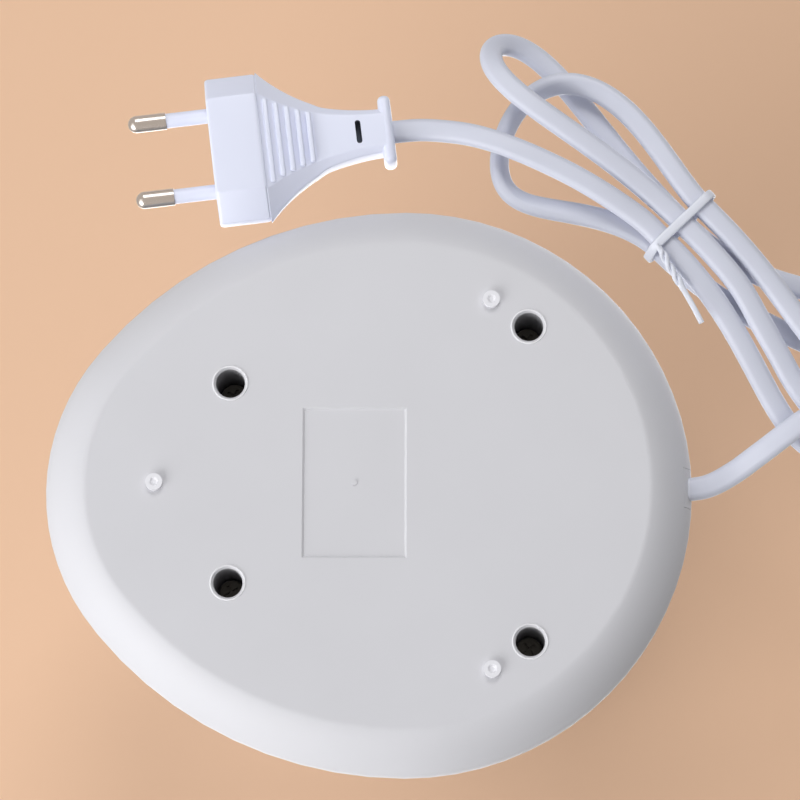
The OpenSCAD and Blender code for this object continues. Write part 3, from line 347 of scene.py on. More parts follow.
def makeTieEnd(tail, run, start, stop):
    # one of the two strands that wind round each other along the tail
    ways = waysAlong(tail)
    rings = []
    for i, place in enumerate(tail):
        if run[i] > stop:
            break
        share = min(1.0, run[i] / tie["twistLength"])
        turn = start + 2 * math.pi * tie["twists"] * share
        past = max(0.0, run[i] - tie["twistLength"])
        opened = min(1.0, tie["twistOpening"] * share)
        away = tie["twistRadius"] * opened * max(0.0, 1 - past / tie["twistClosing"])
        side = Vector((0, 0, 1)).cross(ways[i]).normalized()
        up = ways[i].cross(side)
        centre = place + (side * math.cos(turn) + up * math.sin(turn)) * away
        rings.append(ovalRing(
            centre, ways[i], turn + math.pi / 2, tie["strandWidth"], tie["strandThick"], tie["strandSides"]))
    return tubeFromRings("tieEnd", rings)


def makeTie():
    tail = smoothRoute([byTie(*point) for point in tie["tail"]], tie["tailSteps"])
    run = [0.0]
    for i in range(1, len(tail)):
        run.append(run[-1] + (tail[i] - tail[i - 1]).length)
    pieces = [makeTieBand()]
    for start, stop in ((0, run[-1]), (math.pi, tie["twistLength"] + tie["shortEnd"])):
        pieces.append(makeTieEnd(tail, run, start, stop))
    return cleanUp(joinPieces("hankTie", pieces), tie["smoothAngle"])


hankTie = makeTie()
print("tie made")

# moulded plug: a block with sloping ends, hollow shoulders, grip ridges, a slot and a collar
plug = {
    "at": plugStretch[0].xy,
    "turn": lead["plugTurn"],
    "length": 43,
    "width": 35.3,
    "thick": 13.7,
    "block": 12,
    "step": 0.9,
    "neckWidth": 9.8,
    "neckThick": 7.4,
    "neckPast": 2,
    "endSlope": 6.2,
    "neckSlope": 1.2,
    "slopeRise": 0.85,
    "collar": (3, 16.5, 8.2),
    "collarRound": 1.3,
    "collarSegments": 5,
    "ridges": 5,
    "ridgeFirst": 13.7,
    "ridgePitch": 2.45,
    "ridgeWidth": 1.3,
    "ridgeRise": 0.8,
    "ridgeInset": 0.2,
    "ridgeRound": 0.42,
    "grooveDepth": 0.5,
    "grooveFade": 1.5,
    "slotAt": 34.8,
    "slot": (1.3, 5.6, 2.6),
    "slotRound": 0.55,
    "edgeRound": 1.6,
    "roundShares": (0.55, 0.42),
    "slopeAngle": 40,
    "cornerSteps": 5,
    "frontRound": ((0, 0.9), (0.12, 0.5), (0.4, 0.18), (0.9, 0)),  # place from the edge, inset
    "backRound": ((0.9, 0), (0.35, 0.12), (0.05, 0.5)),
    "shoulderFrom": 0.12,
    "shoulderSteps": 32,
    "smoothAngle": 32,
}
plugRun = plug["length"] - plug["collar"][0] - plug["block"] + plug["neckPast"]
plugWaist = plug["block"] + plugRun
plugSpread = (plug["width"] - plug["neckWidth"]) / 2
plugArc = (plugRun ** 2 + plugSpread ** 2) / (2 * plugSpread)
faceDrop = plug["thick"] / 2 - plug["step"] - plug["neckThick"] / 2
faceArc = (plugRun ** 2 + faceDrop ** 2) / (2 * faceDrop)


def plugHalf(d):
    if d <= plug["block"]:
        return plug["width"] / 2
    return plug["neckWidth"] / 2 + plugArc - math.sqrt(plugArc ** 2 - (plugWaist - d) ** 2)


def plugFace(d):
    if d <= plug["block"]:
        return plug["thick"] / 2
    return plug["neckThick"] / 2 + faceArc - math.sqrt(faceArc ** 2 - (plugWaist - d) ** 2)


def plugSlope(d):
    share = (plugHalf(d) - plug["neckWidth"] / 2) / plugSpread
    return plug["neckSlope"] + (plug["endSlope"] - plug["neckSlope"]) * share


def toWorld(d, y, z):
    # plug frame: d from its front towards the lead
    turn = math.radians(plug["turn"])
    x = d - plug["length"]
    return Vector((
        plug["at"][0] + x * math.cos(turn) - y * math.sin(turn),
        plug["at"][1] + x * math.sin(turn) + y * math.cos(turn),
        plug["thick"] / 2 + z))


def roundedOutline(corners, radius, steps):
    outline = []
    count = len(corners)
    for i, corner in enumerate(corners):
        back = (corners[i - 1] - corner).normalized()
        on = (corners[(i + 1) % count] - corner).normalized()
        half = back.angle(on) / 2
        reach = radius / math.tan(half)
        middle = corner + (back + on).normalized() * (radius / math.sin(half))
        first, last = corner + back * reach - middle, corner + on * reach - middle
        for k in range(steps + 1):
            outline.append(middle + first.slerp(last, k / steps))
    return outline


def plugRing(d, inset, faceExtra=0.0):
    half, face, slope = plugHalf(d) - inset, plugFace(d) - inset + faceExtra, plugSlope(d)
    flat, end = half - slope, face - plug["slopeRise"] * slope
    corners = [Vector(c) for c in (
        (half, end), (flat, face), (-flat, face), (-half, end),
        (-half, -end), (-flat, -face), (flat, -face), (half, -end))]
    endShare, slopeShare = plug["roundShares"]
    onSlope = slopeShare * slope / math.cos(math.radians(plug["slopeAngle"]))
    radius = min(plug["edgeRound"], endShare * end, onSlope)
    return [toWorld(d, p.x, p.y) for p in roundedOutline(corners, radius, plug["cornerSteps"])]


def loftPiece(name, rings):
    # a filled circle is shaped to the first ring and extruded from ring to ring
    deselectAll()
    bpy.ops.mesh.primitive_circle_add(vertices=len(rings[0]), radius=1, fill_type="NGON")
    piece = bpy.context.object
    piece.name = name
    bpy.ops.object.mode_set(mode="EDIT")
    bpy.ops.mesh.select_all(action="SELECT")
    shape = bmesh.from_edit_mesh(piece.data)
    for vert, point in zip(shape.verts, rings[0]):
        vert.co = point * mm
    bmesh.update_edit_mesh(piece.data)
    for before, ring in zip(rings, rings[1:]):
        bpy.ops.mesh.extrude_region_move()
        shape = bmesh.from_edit_mesh(piece.data)
        moved = [v for v in shape.verts if v.select]
        for vert in moved:
            near = min(range(len(before)), key=lambda i: (before[i] * mm - vert.co).length_squared)
            vert.co = ring[near] * mm
        bmesh.update_edit_mesh(piece.data)
    bpy.ops.object.mode_set(mode="OBJECT")
    return piece


def roundedBar(name, size, centre, turn, radius, segments=3):
    deselectAll()
    bpy.ops.mesh.primitive_cube_add(size=1)
    piece = bpy.context.object
    piece.name = name
    piece.scale = [s * mm for s in size]
    settle(piece)
    bpy.ops.object.mode_set(mode="EDIT")
    bpy.ops.mesh.select_all(action="SELECT")
    bpy.ops.mesh.bevel(offset=radius * mm, segments=segments, affect="EDGES")
    bpy.ops.object.mode_set(mode="OBJECT")
    piece.location = centre * mm
    piece.rotation_euler = (0, 0, math.radians(turn))
    return settle(piece)


def cutAway(piece, cutter):
    activate(piece)
    cut = piece.modifiers.new("cut", "BOOLEAN")
    cut.operation = "DIFFERENCE"
    cut.solver = "EXACT"
    cut.material_mode = "TRANSFER"
    cut.object = cutter
    bpy.ops.object.modifier_apply(modifier=cut.name)
    bpy.data.objects.remove(cutter)


def ridgeAt(i):
    return plug["ridgeFirst"] + i * plug["ridgePitch"]


def plugRings():
    block, steps = plug["block"], plug["shoulderSteps"]
    rings = [plugRing(d, inset) for d, inset in plug["frontRound"]]
    rings += [plugRing(block - back, inset) for back, inset in plug["backRound"]]
    first = block + plug["shoulderFrom"]
    last = plug["length"] - plug["collar"][0] / 2
    grooved = ridgeAt(plug["ridges"] - 1) + plug["ridgePitch"]
    for k in range(steps + 1):
        d = first + (last - first) * k / steps
        sink = plug["grooveDepth"] * min(1.0, max(0.0, (grooved - d) / plug["grooveFade"]))
        rings.append(plugRing(d, 0, -sink))
    return rings


def makePlug():
    body = loftPiece("plugShell", plugRings())
    body.data.materials.append(finishes["plug"])
    slotWidth, slotLength, slotDeep = plug["slot"]
    slotFace = plugFace(plug["slotAt"])
    for side in (-1, 1):
        hole = roundedBar(
            "slotCutter", (slotWidth, slotLength, 2 * slotDeep),
            toWorld(plug["slotAt"], 0, side * slotFace), plug["turn"], plug["slotRound"])
        # painted shade: the slot's walls and floor take a dark finish for the shade inside it
        hole.data.materials.append(finishes["slot"])
        cutAway(body, hole)
    bars = [body]
    for i in range(plug["ridges"]):
        d = ridgeAt(i)
        half = plugHalf(d) - plugSlope(d) - plug["ridgeInset"]
        top = plugFace(d) + plug["ridgeRise"]
        size = (plug["ridgeWidth"], 2 * half, 2 * top)
        bars.append(roundedBar("gripRidge", size, toWorld(d, 0, 0), plug["turn"], plug["ridgeRound"]))
    collarAt = plug["length"] - plug["collar"][0] / 2
    bars.append(roundedBar(
        "collar", plug["collar"], toWorld(collarAt, 0, 0), plug["turn"],
        plug["collarRound"], plug["collarSegments"]))
    for bar in bars[1:]:
        bar.data.materials.append(finishes["plug"])
    return cleanUp(joinPieces("mouldedPlug", bars), plug["smoothAngle"])


# base: a sloping edge round the label's recess and a low lip round each screw's deep recess
base = {
    "plate": 1.2,
    "label": (35, 24),
    "labelAt": (0, -3),
    "labelDeep": 0.4,
    "slope": 0.5,
    "lipRadius": 3.95,
    "lipHalf": 0.22,
    "lipSegments": (64, 12),
    "screwRing": 46.5,
    "screwCentre": (0, 8.5),
    "screwAngles": (38, 142, 240, 300),
    "recessRadius": 3.5,
    # painted shade in the screws' deep recesses, darker with depth
    "recessShade": 0.55,
    "shadeFrom": 1.35,
    "shadeRun": 0.6,
    # painted highlight: the feet below this height are paler than the plate
    "footBelow": 1.05,
    "footHighlight": 1.25,
    "roughness": 0.55,
    "grain": 2600,
    "grainDepth": 0.00003,
    "spread": 0.03,
    "smoothAngle": 40,
}
screwPlaces = []
for angle in base["screwAngles"]:
    outward = Vector((math.cos(math.radians(angle)), math.sin(math.radians(angle))))
    screwPlaces.append(Vector(base["screwCentre"]) + outward * base["screwRing"])


# shader maths: a wrapped socket takes part in plain expressions
class Value:
    def __init__(self, tree, socket):
        self.tree = tree
        self.socket = socket

    def maths(self, operation, first, second):
        node = self.tree.nodes.new("ShaderNodeMath")
        node.operation = operation
        for place, value in zip(node.inputs, (first, second)):
            if isinstance(value, Value):
                self.tree.links.new(value.socket, place)
            else:
                place.default_value = value
        return Value(self.tree, node.outputs[0])

    def __add__(self, other):
        return self.maths("ADD", self, other)

    def __radd__(self, other):
        return self.maths("ADD", other, self)

    def __sub__(self, other):
        return self.maths("SUBTRACT", self, other)

    def __rsub__(self, other):
        return self.maths("SUBTRACT", other, self)

    def __mul__(self, other):
        return self.maths("MULTIPLY", self, other)

    def __rmul__(self, other):
        return self.maths("MULTIPLY", other, self)

    def __pow__(self, other):
        return self.maths("POWER", self, other)

    def __lt__(self, other):
        return self.maths("LESS_THAN", self, other)

    def clipped(self):
        return self.maths("MINIMUM", self.maths("MAXIMUM", self, 0.0), 1.0)


class NodeTree:
    def __init__(self, tree):
        self.tree = tree

    def node(self, kind, settings, sockets, output=0):
        made = self.tree.nodes.new(kind)
        for key, value in settings.items():
            setattr(made, key, value)
        for key, value in sockets.items():
            self.feed(made.inputs[key], value)
        return Value(self.tree, made.outputs[output])

    def feed(self, socket, value):
        if isinstance(value, Value):
            self.tree.links.new(value.socket, socket)
        else:
            socket.default_value = value


class Finish(NodeTree):
    def __init__(self, name):
        self.material = bpy.data.materials.new(name)
        self.material.use_nodes = True
        super().__init__(self.material.node_tree)
        self.shader = self.tree.nodes["Principled BSDF"]

    def surface(self, **sockets):
        for key, value in sockets.items():
            self.feed(self.shader.inputs[key.replace("_", " ")], value)

    def objectPlace(self):
        return self.node("ShaderNodeTexCoord", {}, {}, "Object")

    def noise(self, scale, detail, roughness=0.5, where=None):
        return self.node("ShaderNodeTexNoise", {}, {
            "Vector": where or self.objectPlace(), "Scale": scale, "Detail": detail, "Roughness": roughness})

    def bump(self, height, strength, distance):
        return self.node("ShaderNodeBump", {}, {
            "Height": height, "Strength": strength, "Distance": distance})

    def tint(self, factor, first, second):
        # the sockets of Mix in its colour mode
        return self.node("ShaderNodeMix", {"data_type": "RGBA"}, {0: factor, 6: first, 7: second}, 2)


def srgb(r, g, b):
    out = []
    for c in (r, g, b):
        c = c / 255
        out.append(c / 12.92 if c <= 0.04045 else ((c + 0.055) / 1.055) ** 2.4)
    return (*out, 1)


def shade(colour, factor):
    return (*(c * factor for c in colour[:3]), 1)


# moulded plastic: spark-eroded grain, a faint cloudiness in colour and in gloss
moulding = {
    "cloudScale": 38,
    "cloudDetail": 3,
    "grainDetail": 2,
    "grainRoughness": 0.6,
    "grainStrength": 0.25,
    "glossSpread": 0.1,
    "coatRoughness": 0.12,
    "ior": 1.46,
}


def mouldedFinish(name, roughness, grain, depth):
    finish = Finish(name)
    cloud = finish.noise(moulding["cloudScale"], moulding["cloudDetail"])
    fine = finish.noise(grain, moulding["grainDetail"], moulding["grainRoughness"])
    finish.surface(
        Roughness=roughness - moulding["glossSpread"] / 2 + moulding["glossSpread"] * cloud,
        Normal=finish.bump(fine, moulding["grainStrength"], depth),
        IOR=moulding["ior"])
    return finish, cloud


def mouldedPlastic(name, colour, roughness, grain, depth, coat=0.0, spread=0.03):
    finish, cloud = mouldedFinish(name, roughness, grain, depth)
    finish.surface(
        Base_Color=finish.tint(cloud, shade(colour, 1 - spread), shade(colour, 1 + spread)),
        Coat_Weight=coat,
        Coat_Roughness=moulding["coatRoughness"])
    return finish.material


def basePlastic(name, colour):
    # painted highlight on the feet, paler than the plate, and painted shade in the deep recesses of the
    # screws
    finish, cloud = mouldedFinish(name, base["roughness"], base["grain"], base["grainDepth"])
    axes = [finish.node("ShaderNodeSeparateXYZ", {}, {"Vector": finish.objectPlace()}, i) for i in range(3)]
    inside = 0.0
    for place in screwPlaces:
        away = (axes[0] - place.x * mm) ** 2 + (axes[1] - place.y * mm) ** 2
        inside = inside + (away < (base["recessRadius"] * mm) ** 2)
    # painted shade: the recesses darken past this depth
    deep = ((axes[2] - base["shadeFrom"] * mm) * (1 / (base["shadeRun"] * mm))).clipped()
    moulded = finish.tint(cloud, shade(colour, 1 - base["spread"]), shade(colour, 1 + base["spread"]))
    # painted highlight on the feet
    light = finish.tint(axes[2] < base["footBelow"] * mm, moulded, shade(colour, base["footHighlight"]))
    finish.surface(Base_Color=finish.tint(inside * deep, light, shade(colour, base["recessShade"])))
    return finish.material


# drawn or turned metal: lines along one way, with duller patches
metal = {
    "lineScale": 60,
    "lineDetail": 3,
    "lineRoughness": 0.6,
    "lineStrength": 0.3,
    "patchScale": 70,
    "patchDetail": 3,
    "glossSpread": 0.16,
}


def bareMetal(name, colour, roughness, stretch, depth, spread=0.08):
    finish = Finish(name)
    place = finish.node("ShaderNodeMapping", {}, {"Vector": finish.objectPlace(), "Scale": stretch})
    lines = finish.noise(metal["lineScale"], metal["lineDetail"], metal["lineRoughness"], place)
    patch = finish.noise(metal["patchScale"], metal["patchDetail"])
    finish.surface(
        Base_Color=finish.tint(patch, shade(colour, 1 - spread), colour),
        Metallic=1.0,
        Roughness=roughness - metal["glossSpread"] / 2 + metal["glossSpread"] * lines,
        Normal=finish.bump(lines, metal["lineStrength"], depth))
    return finish.material


# circuit board: green mask over the tracks
laminate = {
    "mask": srgb(22, 84, 48),
    "track": srgb(46, 118, 70),
    "trackScale": 320.0,
    "trackGap": 0.06,
    "trackStrength": 0.2,
    "trackDepth": 0.00004,
    "cloudScale": 90,
    "cloudDetail": 2,
    "roughness": 0.32,
    "glossSpread": 0.1,
}


def boardLaminate(name):
    finish = Finish(name)
    tracks = finish.node("ShaderNodeTexBrick", {}, {
        "Vector": finish.objectPlace(),
        "Scale": laminate["trackScale"],
        "Mortar Size": laminate["trackGap"]}, "Fac")
    cloud = finish.noise(laminate["cloudScale"], laminate["cloudDetail"])
    finish.surface(
        Base_Color=finish.tint(tracks, laminate["mask"], laminate["track"]),
        Roughness=laminate["roughness"] + laminate["glossSpread"] * cloud,
        Normal=finish.bump(tracks, laminate["trackStrength"], laminate["trackDepth"]))
    return finish.material


# cover of the lead: drawn lines that follow it, on its own UV map
pvc = {
    "shades": (srgb(204, 207, 221), srgb(211, 214, 228)),
    "stretch": (26.0, 30.0, 1.0),
    "drawnScale": 1.0,
    "drawnDetail": 3,
    "drawnRoughness": 0.6,
    "drawnStrength": 0.2,
    "drawnDepth": 0.00006,
    "cloudScale": 60,
    "cloudDetail": 2,
    "roughness": 0.36,
    "glossSpread": 0.14,
    "ior": 1.5,
}


def leadPvc(name):
    finish = Finish(name)
    along = finish.node("ShaderNodeUVMap", {"uv_map": "alongLead"}, {})
    stretched = finish.node("ShaderNodeMapping", {}, {"Vector": along, "Scale": pvc["stretch"]})
    drawn = finish.noise(pvc["drawnScale"], pvc["drawnDetail"], pvc["drawnRoughness"], stretched)
    cloud = finish.noise(pvc["cloudScale"], pvc["cloudDetail"])
    finish.surface(
        Base_Color=finish.tint(cloud, *pvc["shades"]),
        Roughness=pvc["roughness"] + pvc["glossSpread"] * drawn,
        Normal=finish.bump(drawn, pvc["drawnStrength"], pvc["drawnDepth"]),
        IOR=pvc["ior"])
    return finish.material


# moulded: colour, roughness, grain's scale and depth, coat, spread of the colour
# metal: colour, roughness, stretch and depth of its lines, spread of the colour
finishes = {
    "base": basePlastic("basePlastic", srgb(213, 213, 218)),
    # painted highlight: the lips round the screw recesses are paler than the plate
    "lip": mouldedPlastic("lipHighlightPlastic", srgb(233, 233, 237), 0.5, 2600, 0.00003),
    "housing": mouldedPlastic("housingPlastic", srgb(215, 215, 219), 0.3, 1500, 0.00001, 0.25),
    "knob": mouldedPlastic("knobPlastic", srgb(216, 217, 220), 0.34, 1800, 0.00001, 0.15),
    "basket": mouldedPlastic("basketPlastic", srgb(224, 231, 238), 0.38, 1500, 0.00001),
    "ceramic": mouldedPlastic("ceramicCase", srgb(222, 212, 196), 0.6, 2200, 0.00003),
    "rubber": mouldedPlastic("gasketRubber", srgb(196, 196, 194), 0.7, 2000, 0.00003),
    "switch": mouldedPlastic("switchPlastic", srgb(40, 42, 46), 0.45, 2200, 0.00002),
    "blueCase": mouldedPlastic("relayCase", srgb(38, 78, 160), 0.35, 2200, 0.00001),
    "amberCase": mouldedPlastic("capacitorCase", srgb(206, 148, 40), 0.35, 2200, 0.00001),
    "greenCase": mouldedPlastic("terminalCase", srgb(44, 122, 70), 0.4, 2200, 0.00001),
    "clamp": mouldedPlastic("clampPlastic", srgb(206, 206, 204), 0.5, 2200, 0.00002),
    "lens": mouldedPlastic("lensPlastic", srgb(206, 66, 40), 0.18, 2200, 0.00001, 0.4),
    "led": mouldedPlastic("ledEpoxy", srgb(214, 84, 52), 0.2, 2200, 0.00001, 0.4),
    "mark": mouldedPlastic("dialMarkPlastic", srgb(116, 122, 132), 0.45, 2200, 0.00001),
    # painted shade inside the plug's slot
    "slot": mouldedPlastic("slotShade", srgb(96, 102, 116), 0.7, 2200, 0.00001),
    "plug": mouldedPlastic("plugPlastic", srgb(228, 232, 250), 0.34, 2000, 0.00001, 0.1, 0.015),
    "tie": mouldedPlastic("tiePlastic", srgb(222, 225, 236), 0.4, 2400, 0.00001),
    "liveWire": mouldedPlastic("liveWirePvc", srgb(120, 70, 40), 0.42, 2400, 0.00001),
    "neutralWire": mouldedPlastic("neutralWirePvc", srgb(44, 88, 176), 0.42, 2400, 0.00001),
    "sensorWire": mouldedPlastic("sensorWirePvc", srgb(46, 46, 48), 0.45, 2400, 0.00001),
    "lead": leadPvc("leadPvc"),
    "board": boardLaminate("boardLaminate"),
    "pot": bareMetal("potAluminium", srgb(168, 169, 171), 0.5, (1.0, 1.0, 12.0), 0.00003),
    "cast": bareMetal("castAluminium", srgb(178, 178, 178), 0.55, (3.0, 3.0, 3.0), 0.00012, 0.2),
    "sheath": bareMetal("sheathedSteel", srgb(150, 146, 140), 0.42, (2.0, 2.0, 2.0), 0.00004, 0.25),
    "zinc": bareMetal("zincSteel", srgb(198, 200, 202), 0.36, (2.0, 2.0, 2.0), 0.00003, 0.15),
    "screw": bareMetal("blackedSteel", srgb(92, 92, 89), 0.5, (3.0, 3.0, 3.0), 0.00003, 0.2),
    "brass": bareMetal("sensorBrass", srgb(196, 164, 96), 0.34, (2.0, 2.0, 8.0), 0.00003),
    "shaft": bareMetal("shaftSteel", srgb(190, 190, 192), 0.3, (1.0, 8.0, 8.0), 0.00002),
    "pin": bareMetal("platedPin", srgb(186, 182, 178), 0.24, (10.0, 1.0, 10.0), 0.00001, 0.05),
}
print("finishes made:", len(finishes))

nodeFinish = {
    "base_cover": "base", "base_screws": "screw", "outer_housing": "housing", "heating_pot": "pot",
    "pot_gasket": "rubber", "heater_plate": "cast", "heating_tube": "sheath", "thermal_cutout": "ceramic",
    "temperature_sensor": "brass", "sensor_strap": "zinc", "strap_nut": "zinc", "clamp_bar": "zinc",
    "bar_nut": "zinc", "bar_screws": "zinc", "control_board": "board", "board_screws": "zinc",
    "switch_body": "switch", "switch_shaft": "shaft", "control_knob": "knob", "relay": "blueCase",
    "film_capacitor": "amberCase", "terminal_block": "greenCase", "indicator_led": "led",
    "indicator_lens": "lens", "bottle_basket": "basket", "cord_gland": "base", "cord_clamp": "clamp",
    "clamp_screws": "zinc", "cord_tail": "tie", "live_wire": "liveWire", "neutral_wire": "neutralWire",
    "heater_wire": "liveWire", "link_wire": "liveWire", "sensor_lead": "sensorWire", "plug_pins": "pin",
    "plug_sleeves": "plug",
}
nodeShading = {
    "weld": 2e-6,
    "splitAngle": 30,
    "flatWeight": 80,
}


def smoothNode(node):
    for face in node.data.polygons:
        face.use_smooth = True
    weld = node.modifiers.new("weld", "WELD")
    weld.merge_threshold = nodeShading["weld"]
    split = node.modifiers.new("split", "EDGE_SPLIT")
    split.split_angle = math.radians(nodeShading["splitAngle"])
    normals = node.modifiers.new("normals", "WEIGHTED_NORMAL")
    normals.weight = nodeShading["flatWeight"]


for name, finish in nodeFinish.items():
    node = parts[name]
    node.data.materials.clear()
    node.data.materials.append(finishes[finish])
    smoothNode(node)

mainsLead.data.materials.append(finishes["lead"])
hankTie.data.materials.append(finishes["tie"])

mouldedPlug = makePlug()
print("plug made")


def makeLabelEdge():
    deselectAll()
    bpy.ops.mesh.primitive_plane_add(size=1)
    edge = bpy.context.object
    edge.scale = (base["label"][0] * mm, base["label"][1] * mm, 1)
    edge.location = Vector((*base["labelAt"], base["plate"] + base["labelDeep"])) * mm
    settle(edge)
    bpy.ops.object.mode_set(mode="EDIT")
    bpy.ops.mesh.select_all(action="SELECT")
    bpy.ops.mesh.inset(thickness=base["slope"] * mm)
    bpy.ops.mesh.delete(type="FACE")
    bpy.ops.mesh.select_mode(type="EDGE")
    shape = bmesh.from_edit_mesh(edge.data)
    half = base["label"][0] / 2 * mm
    for line in shape.edges:
        line.select = all(abs(abs(v.co.x) - half) < placeTolerance for v in line.verts)
    bmesh.update_edit_mesh(edge.data)
    bpy.ops.mesh.extrude_edges_move(TRANSFORM_OT_translate={"value": (0, 0, -base["labelDeep"] * mm)})
    bpy.ops.mesh.select_all(action="DESELECT")
    bpy.ops.mesh.select_non_manifold()
    bpy.ops.mesh.bridge_edge_loops()
    bpy.ops.object.mode_set(mode="OBJECT")
    return edge


def makeLip(place):
    deselectAll()
    bpy.ops.mesh.primitive_torus_add(
        major_radius=base["lipRadius"] * mm, minor_radius=base["lipHalf"] * mm,
        major_segments=base["lipSegments"][0], minor_segments=base["lipSegments"][1])
    lip = bpy.context.object
    lip.location = (place.x * mm, place.y * mm, base["plate"] * mm)
    return settle(lip)


def makeBaseEdges():
    pieces = [makeLabelEdge()] + [makeLip(place) for place in screwPlaces]
    for i, piece in enumerate(pieces):
        # the lips take the paler finish, a painted highlight
        piece.data.materials.append(finishes["lip" if i else "base"])
    edges = cleanUp(joinPieces("baseEdges", pieces), base["smoothAngle"])
    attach(edges, "body")


makeBaseEdges()
print("base edges made")

# dial: raised marks that grow with the heat round the knob, and an inlay in the knob's groove
dial = {
    "at": (0, -62.497, 60),
    "tilt": 19.1525,
    "marks": 10,
    "markStep": 30,
    "lensMark": 6,
    "markFrom": 16.1,
    "markWidth": 0.8,
    "markLength": (1.2, 3.2),
    "markMiddle": 1.65,
    "markThick": 0.5,
    "markRound": 0.2,
    "inlay": (1.5, 7.4, 0.7),
    "inlayAt": (0, 7.3, 11.4),
    "inlayRound": 0.25,
    "smoothAngle": 40,
}


def ontoDial(piece):
    # from the dial's own frame, x across, y up its face and z outwards
    tilt = math.radians(dial["tilt"])
    upFace = Vector((0, math.sin(tilt), math.cos(tilt)))
    outward = Vector((0, -math.cos(tilt), math.sin(tilt)))
    turn = Matrix((Vector((1, 0, 0)), upFace, outward)).transposed().to_4x4()
    piece.matrix_world = Matrix.Translation(Vector(dial["at"]) * mm) @ turn
    return settle(piece)


def makeDialMarks():
    marks = []
    short, long = dial["markLength"]
    for i in range(dial["marks"]):
        if i == dial["lensMark"]:
            continue  # the indicator's lens is here
        length = short + (long - short) * i / (dial["marks"] - 1)
        angle = math.radians(i * dial["markStep"])
        reach = dial["markFrom"] + length / 2
        middle = Vector((math.sin(angle) * reach, math.cos(angle) * reach, dial["markMiddle"]))
        size = (dial["markWidth"], length, dial["markThick"])
        marks.append(roundedBar("mark", size, middle, -i * dial["markStep"], dial["markRound"]))
    return cleanUp(ontoDial(joinPieces("dialMarks", marks)), dial["smoothAngle"])


def makeKnobInlay():
    inlay = roundedBar("knobInlay", dial["inlay"], Vector(dial["inlayAt"]), 0, dial["inlayRound"])
    return cleanUp(ontoDial(joinPieces("knobInlay", [inlay])), dial["smoothAngle"])


dialMarks = makeDialMarks()
knobInlay = makeKnobInlay()
for piece, bodyName in ((dialMarks, "body"), (knobInlay, "dial")):
    piece.data.materials.append(finishes["mark"])
    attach(piece, bodyName)
print("dial marked")

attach(mainsLead, "body")
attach(hankTie, "body")
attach(mouldedPlug, "body")
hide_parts("cord_lead", "cord_hank", "cord_plug_lead")
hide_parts("cord_tie")
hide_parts("plug_body")
print("nodes dressed")

# stage: a pale floor seen from above, a pale sheet over the rim seen from below, soft lamps on both sides
stage = {
    "floorColour": srgb(230, 214, 200),
    "floorSize": 6.0,
    "floorHeight": -0.0002,
    "floorShades": (1.0, 1.0),
    "sheetColour": srgb(233, 193, 161),
    "sheetSize": 3.0,
    "sheetHeight": 0.1185,
    # painted shade across the sheet, from darker on one side to lighter on the other
    "sheetShades": (0.98, 1.02),
    "shadeFrom": -0.08,
    "shadeRun": 0.19,
    "fadeFrom": 0.32,
    "fadeRun": 0.45,
    "paintRoughness": 0.9,
    "cells": 8,
    "middle": (0.02, 0.02),
    "lampAim": (0.02, 0.01, 0.05),
    "lamps": {  # place, size, power
        "windowBelow": ((-0.787, -0.797, -0.321), 1.2, 13.5),
        "leftBelow": ((-0.225, -0.903, -0.689), 0.8, 1.7),
        "sideBelow": ((0.79, 0.01, -0.87), 0.7, 5.6),
        "keyAbove": ((0.55, 0.5, 1.1), 0.8, 3.5),
        "fillAbove": ((0.0, 0.0, 1.5), 1.0, 8.5),
    },
    "worldLight": 0.335,
    "wallColour": srgb(238, 226, 216),
}


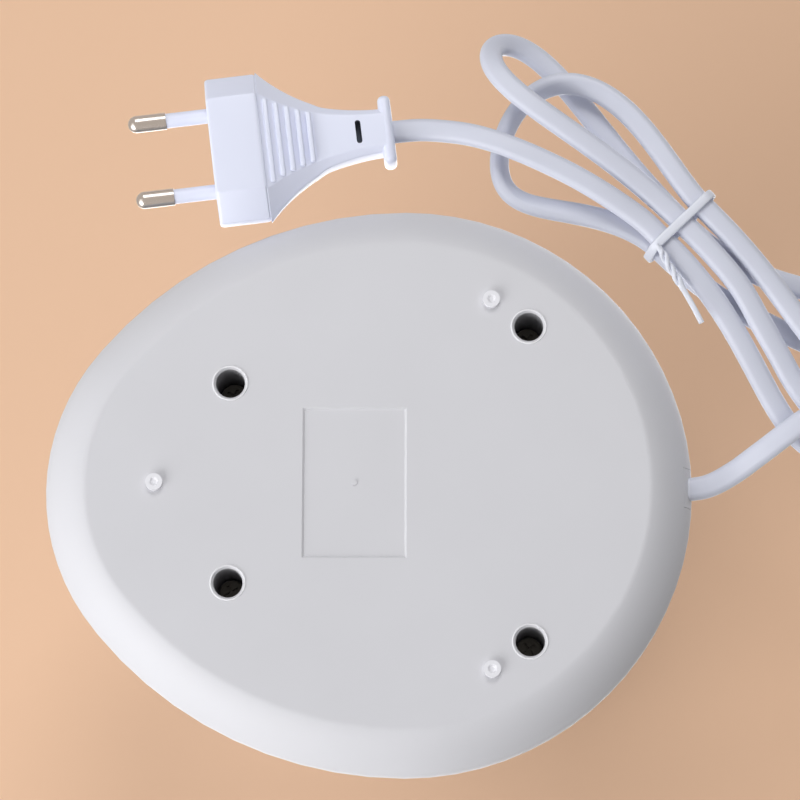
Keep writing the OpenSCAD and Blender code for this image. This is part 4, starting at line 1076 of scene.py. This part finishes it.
def oneSided(name, colour, shades):
    # painted on one side and clear from the other, with painted shade that changes slowly across it, and far
    # off like the wall
    finish = Finish(name)
    place = finish.objectPlace()
    across = finish.node("ShaderNodeSeparateXYZ", {}, {"Vector": place}, "Y")
    share = ((across - stage["shadeFrom"]) * (1 / stage["shadeRun"])).clipped()
    finish.surface(
        Base_Color=finish.tint(share, shade(colour, shades[0]), shade(colour, shades[1])),
        Roughness=stage["paintRoughness"])
    away = finish.node("ShaderNodeVectorMath", {"operation": "LENGTH"}, {0: place}, "Value")
    far = ((away - stage["fadeFrom"]) * (1 / stage["fadeRun"])).clipped()
    wall = finish.node("ShaderNodeEmission", {}, {"Color": stage["wallColour"], "Strength": 1.0})
    painted = Value(finish.tree, finish.shader.outputs[0])
    seen = finish.node("ShaderNodeMixShader", {}, {0: far, 1: painted, 2: wall})
    behind = finish.node("ShaderNodeNewGeometry", {}, {}, "Backfacing")
    clear = finish.node("ShaderNodeBsdfTransparent", {}, {})
    mix = finish.node("ShaderNodeMixShader", {}, {0: behind, 1: seen, 2: clear})
    finish.feed(finish.tree.nodes["Material Output"].inputs[0], mix)
    return finish.material


def makeSheet(name, size, height, colour, shades, facesDown):
    deselectAll()
    bpy.ops.mesh.primitive_grid_add(x_subdivisions=stage["cells"], y_subdivisions=stage["cells"], size=size)
    sheet = bpy.context.object
    sheet.name = name
    sheet.location = (*stage["middle"], height)
    if facesDown:
        sheet.rotation_euler = (math.pi, 0, 0)
    settle(sheet)
    sheet.data.materials.append(oneSided(name + "Paint", colour, shades))
    sheet.visible_diffuse = False
    sheet.visible_glossy = False
    sheet.visible_shadow = False


def makeLamp(name, place, size, power):
    deselectAll()
    bpy.ops.object.light_add(type="AREA", location=place)
    lamp = bpy.context.object
    lamp.name = name
    lamp.data.shape = "DISK"
    lamp.data.size = size
    lamp.data.energy = power
    lamp.visible_camera = False
    aim = Vector(stage["lampAim"]) - Vector(place)
    lamp.rotation_euler = aim.to_track_quat("-Z", "Y").to_euler()


makeSheet("floor", stage["floorSize"], stage["floorHeight"],
          stage["floorColour"], stage["floorShades"], False)
makeSheet("paleSheet", stage["sheetSize"], stage["sheetHeight"],
          stage["sheetColour"], stage["sheetShades"], True)
for lampName, lampSetting in stage["lamps"].items():
    makeLamp(lampName, *lampSetting)


def makeWorld():
    world = bpy.data.worlds.new("studio")
    bpy.context.scene.world = world
    world.use_nodes = True
    studio = NodeTree(world.node_tree)
    light = studio.node("ShaderNodeBackground", {}, {"Color": (1, 1, 1, 1), "Strength": stage["worldLight"]})
    wall = studio.node("ShaderNodeBackground", {}, {"Color": stage["wallColour"], "Strength": 1.0})
    seen = studio.node("ShaderNodeLightPath", {}, {}, "Is Camera Ray")
    glossy = studio.node("ShaderNodeLightPath", {}, {}, "Is Glossy Ray")
    mix = studio.node("ShaderNodeMixShader", {}, {0: (seen + glossy).clipped(), 1: light, 2: wall})
    studio.feed(world.node_tree.nodes["World Output"].inputs[0], mix)


makeWorld()
bpy.context.scene.view_settings.view_transform = "Standard"
print("stage lit")
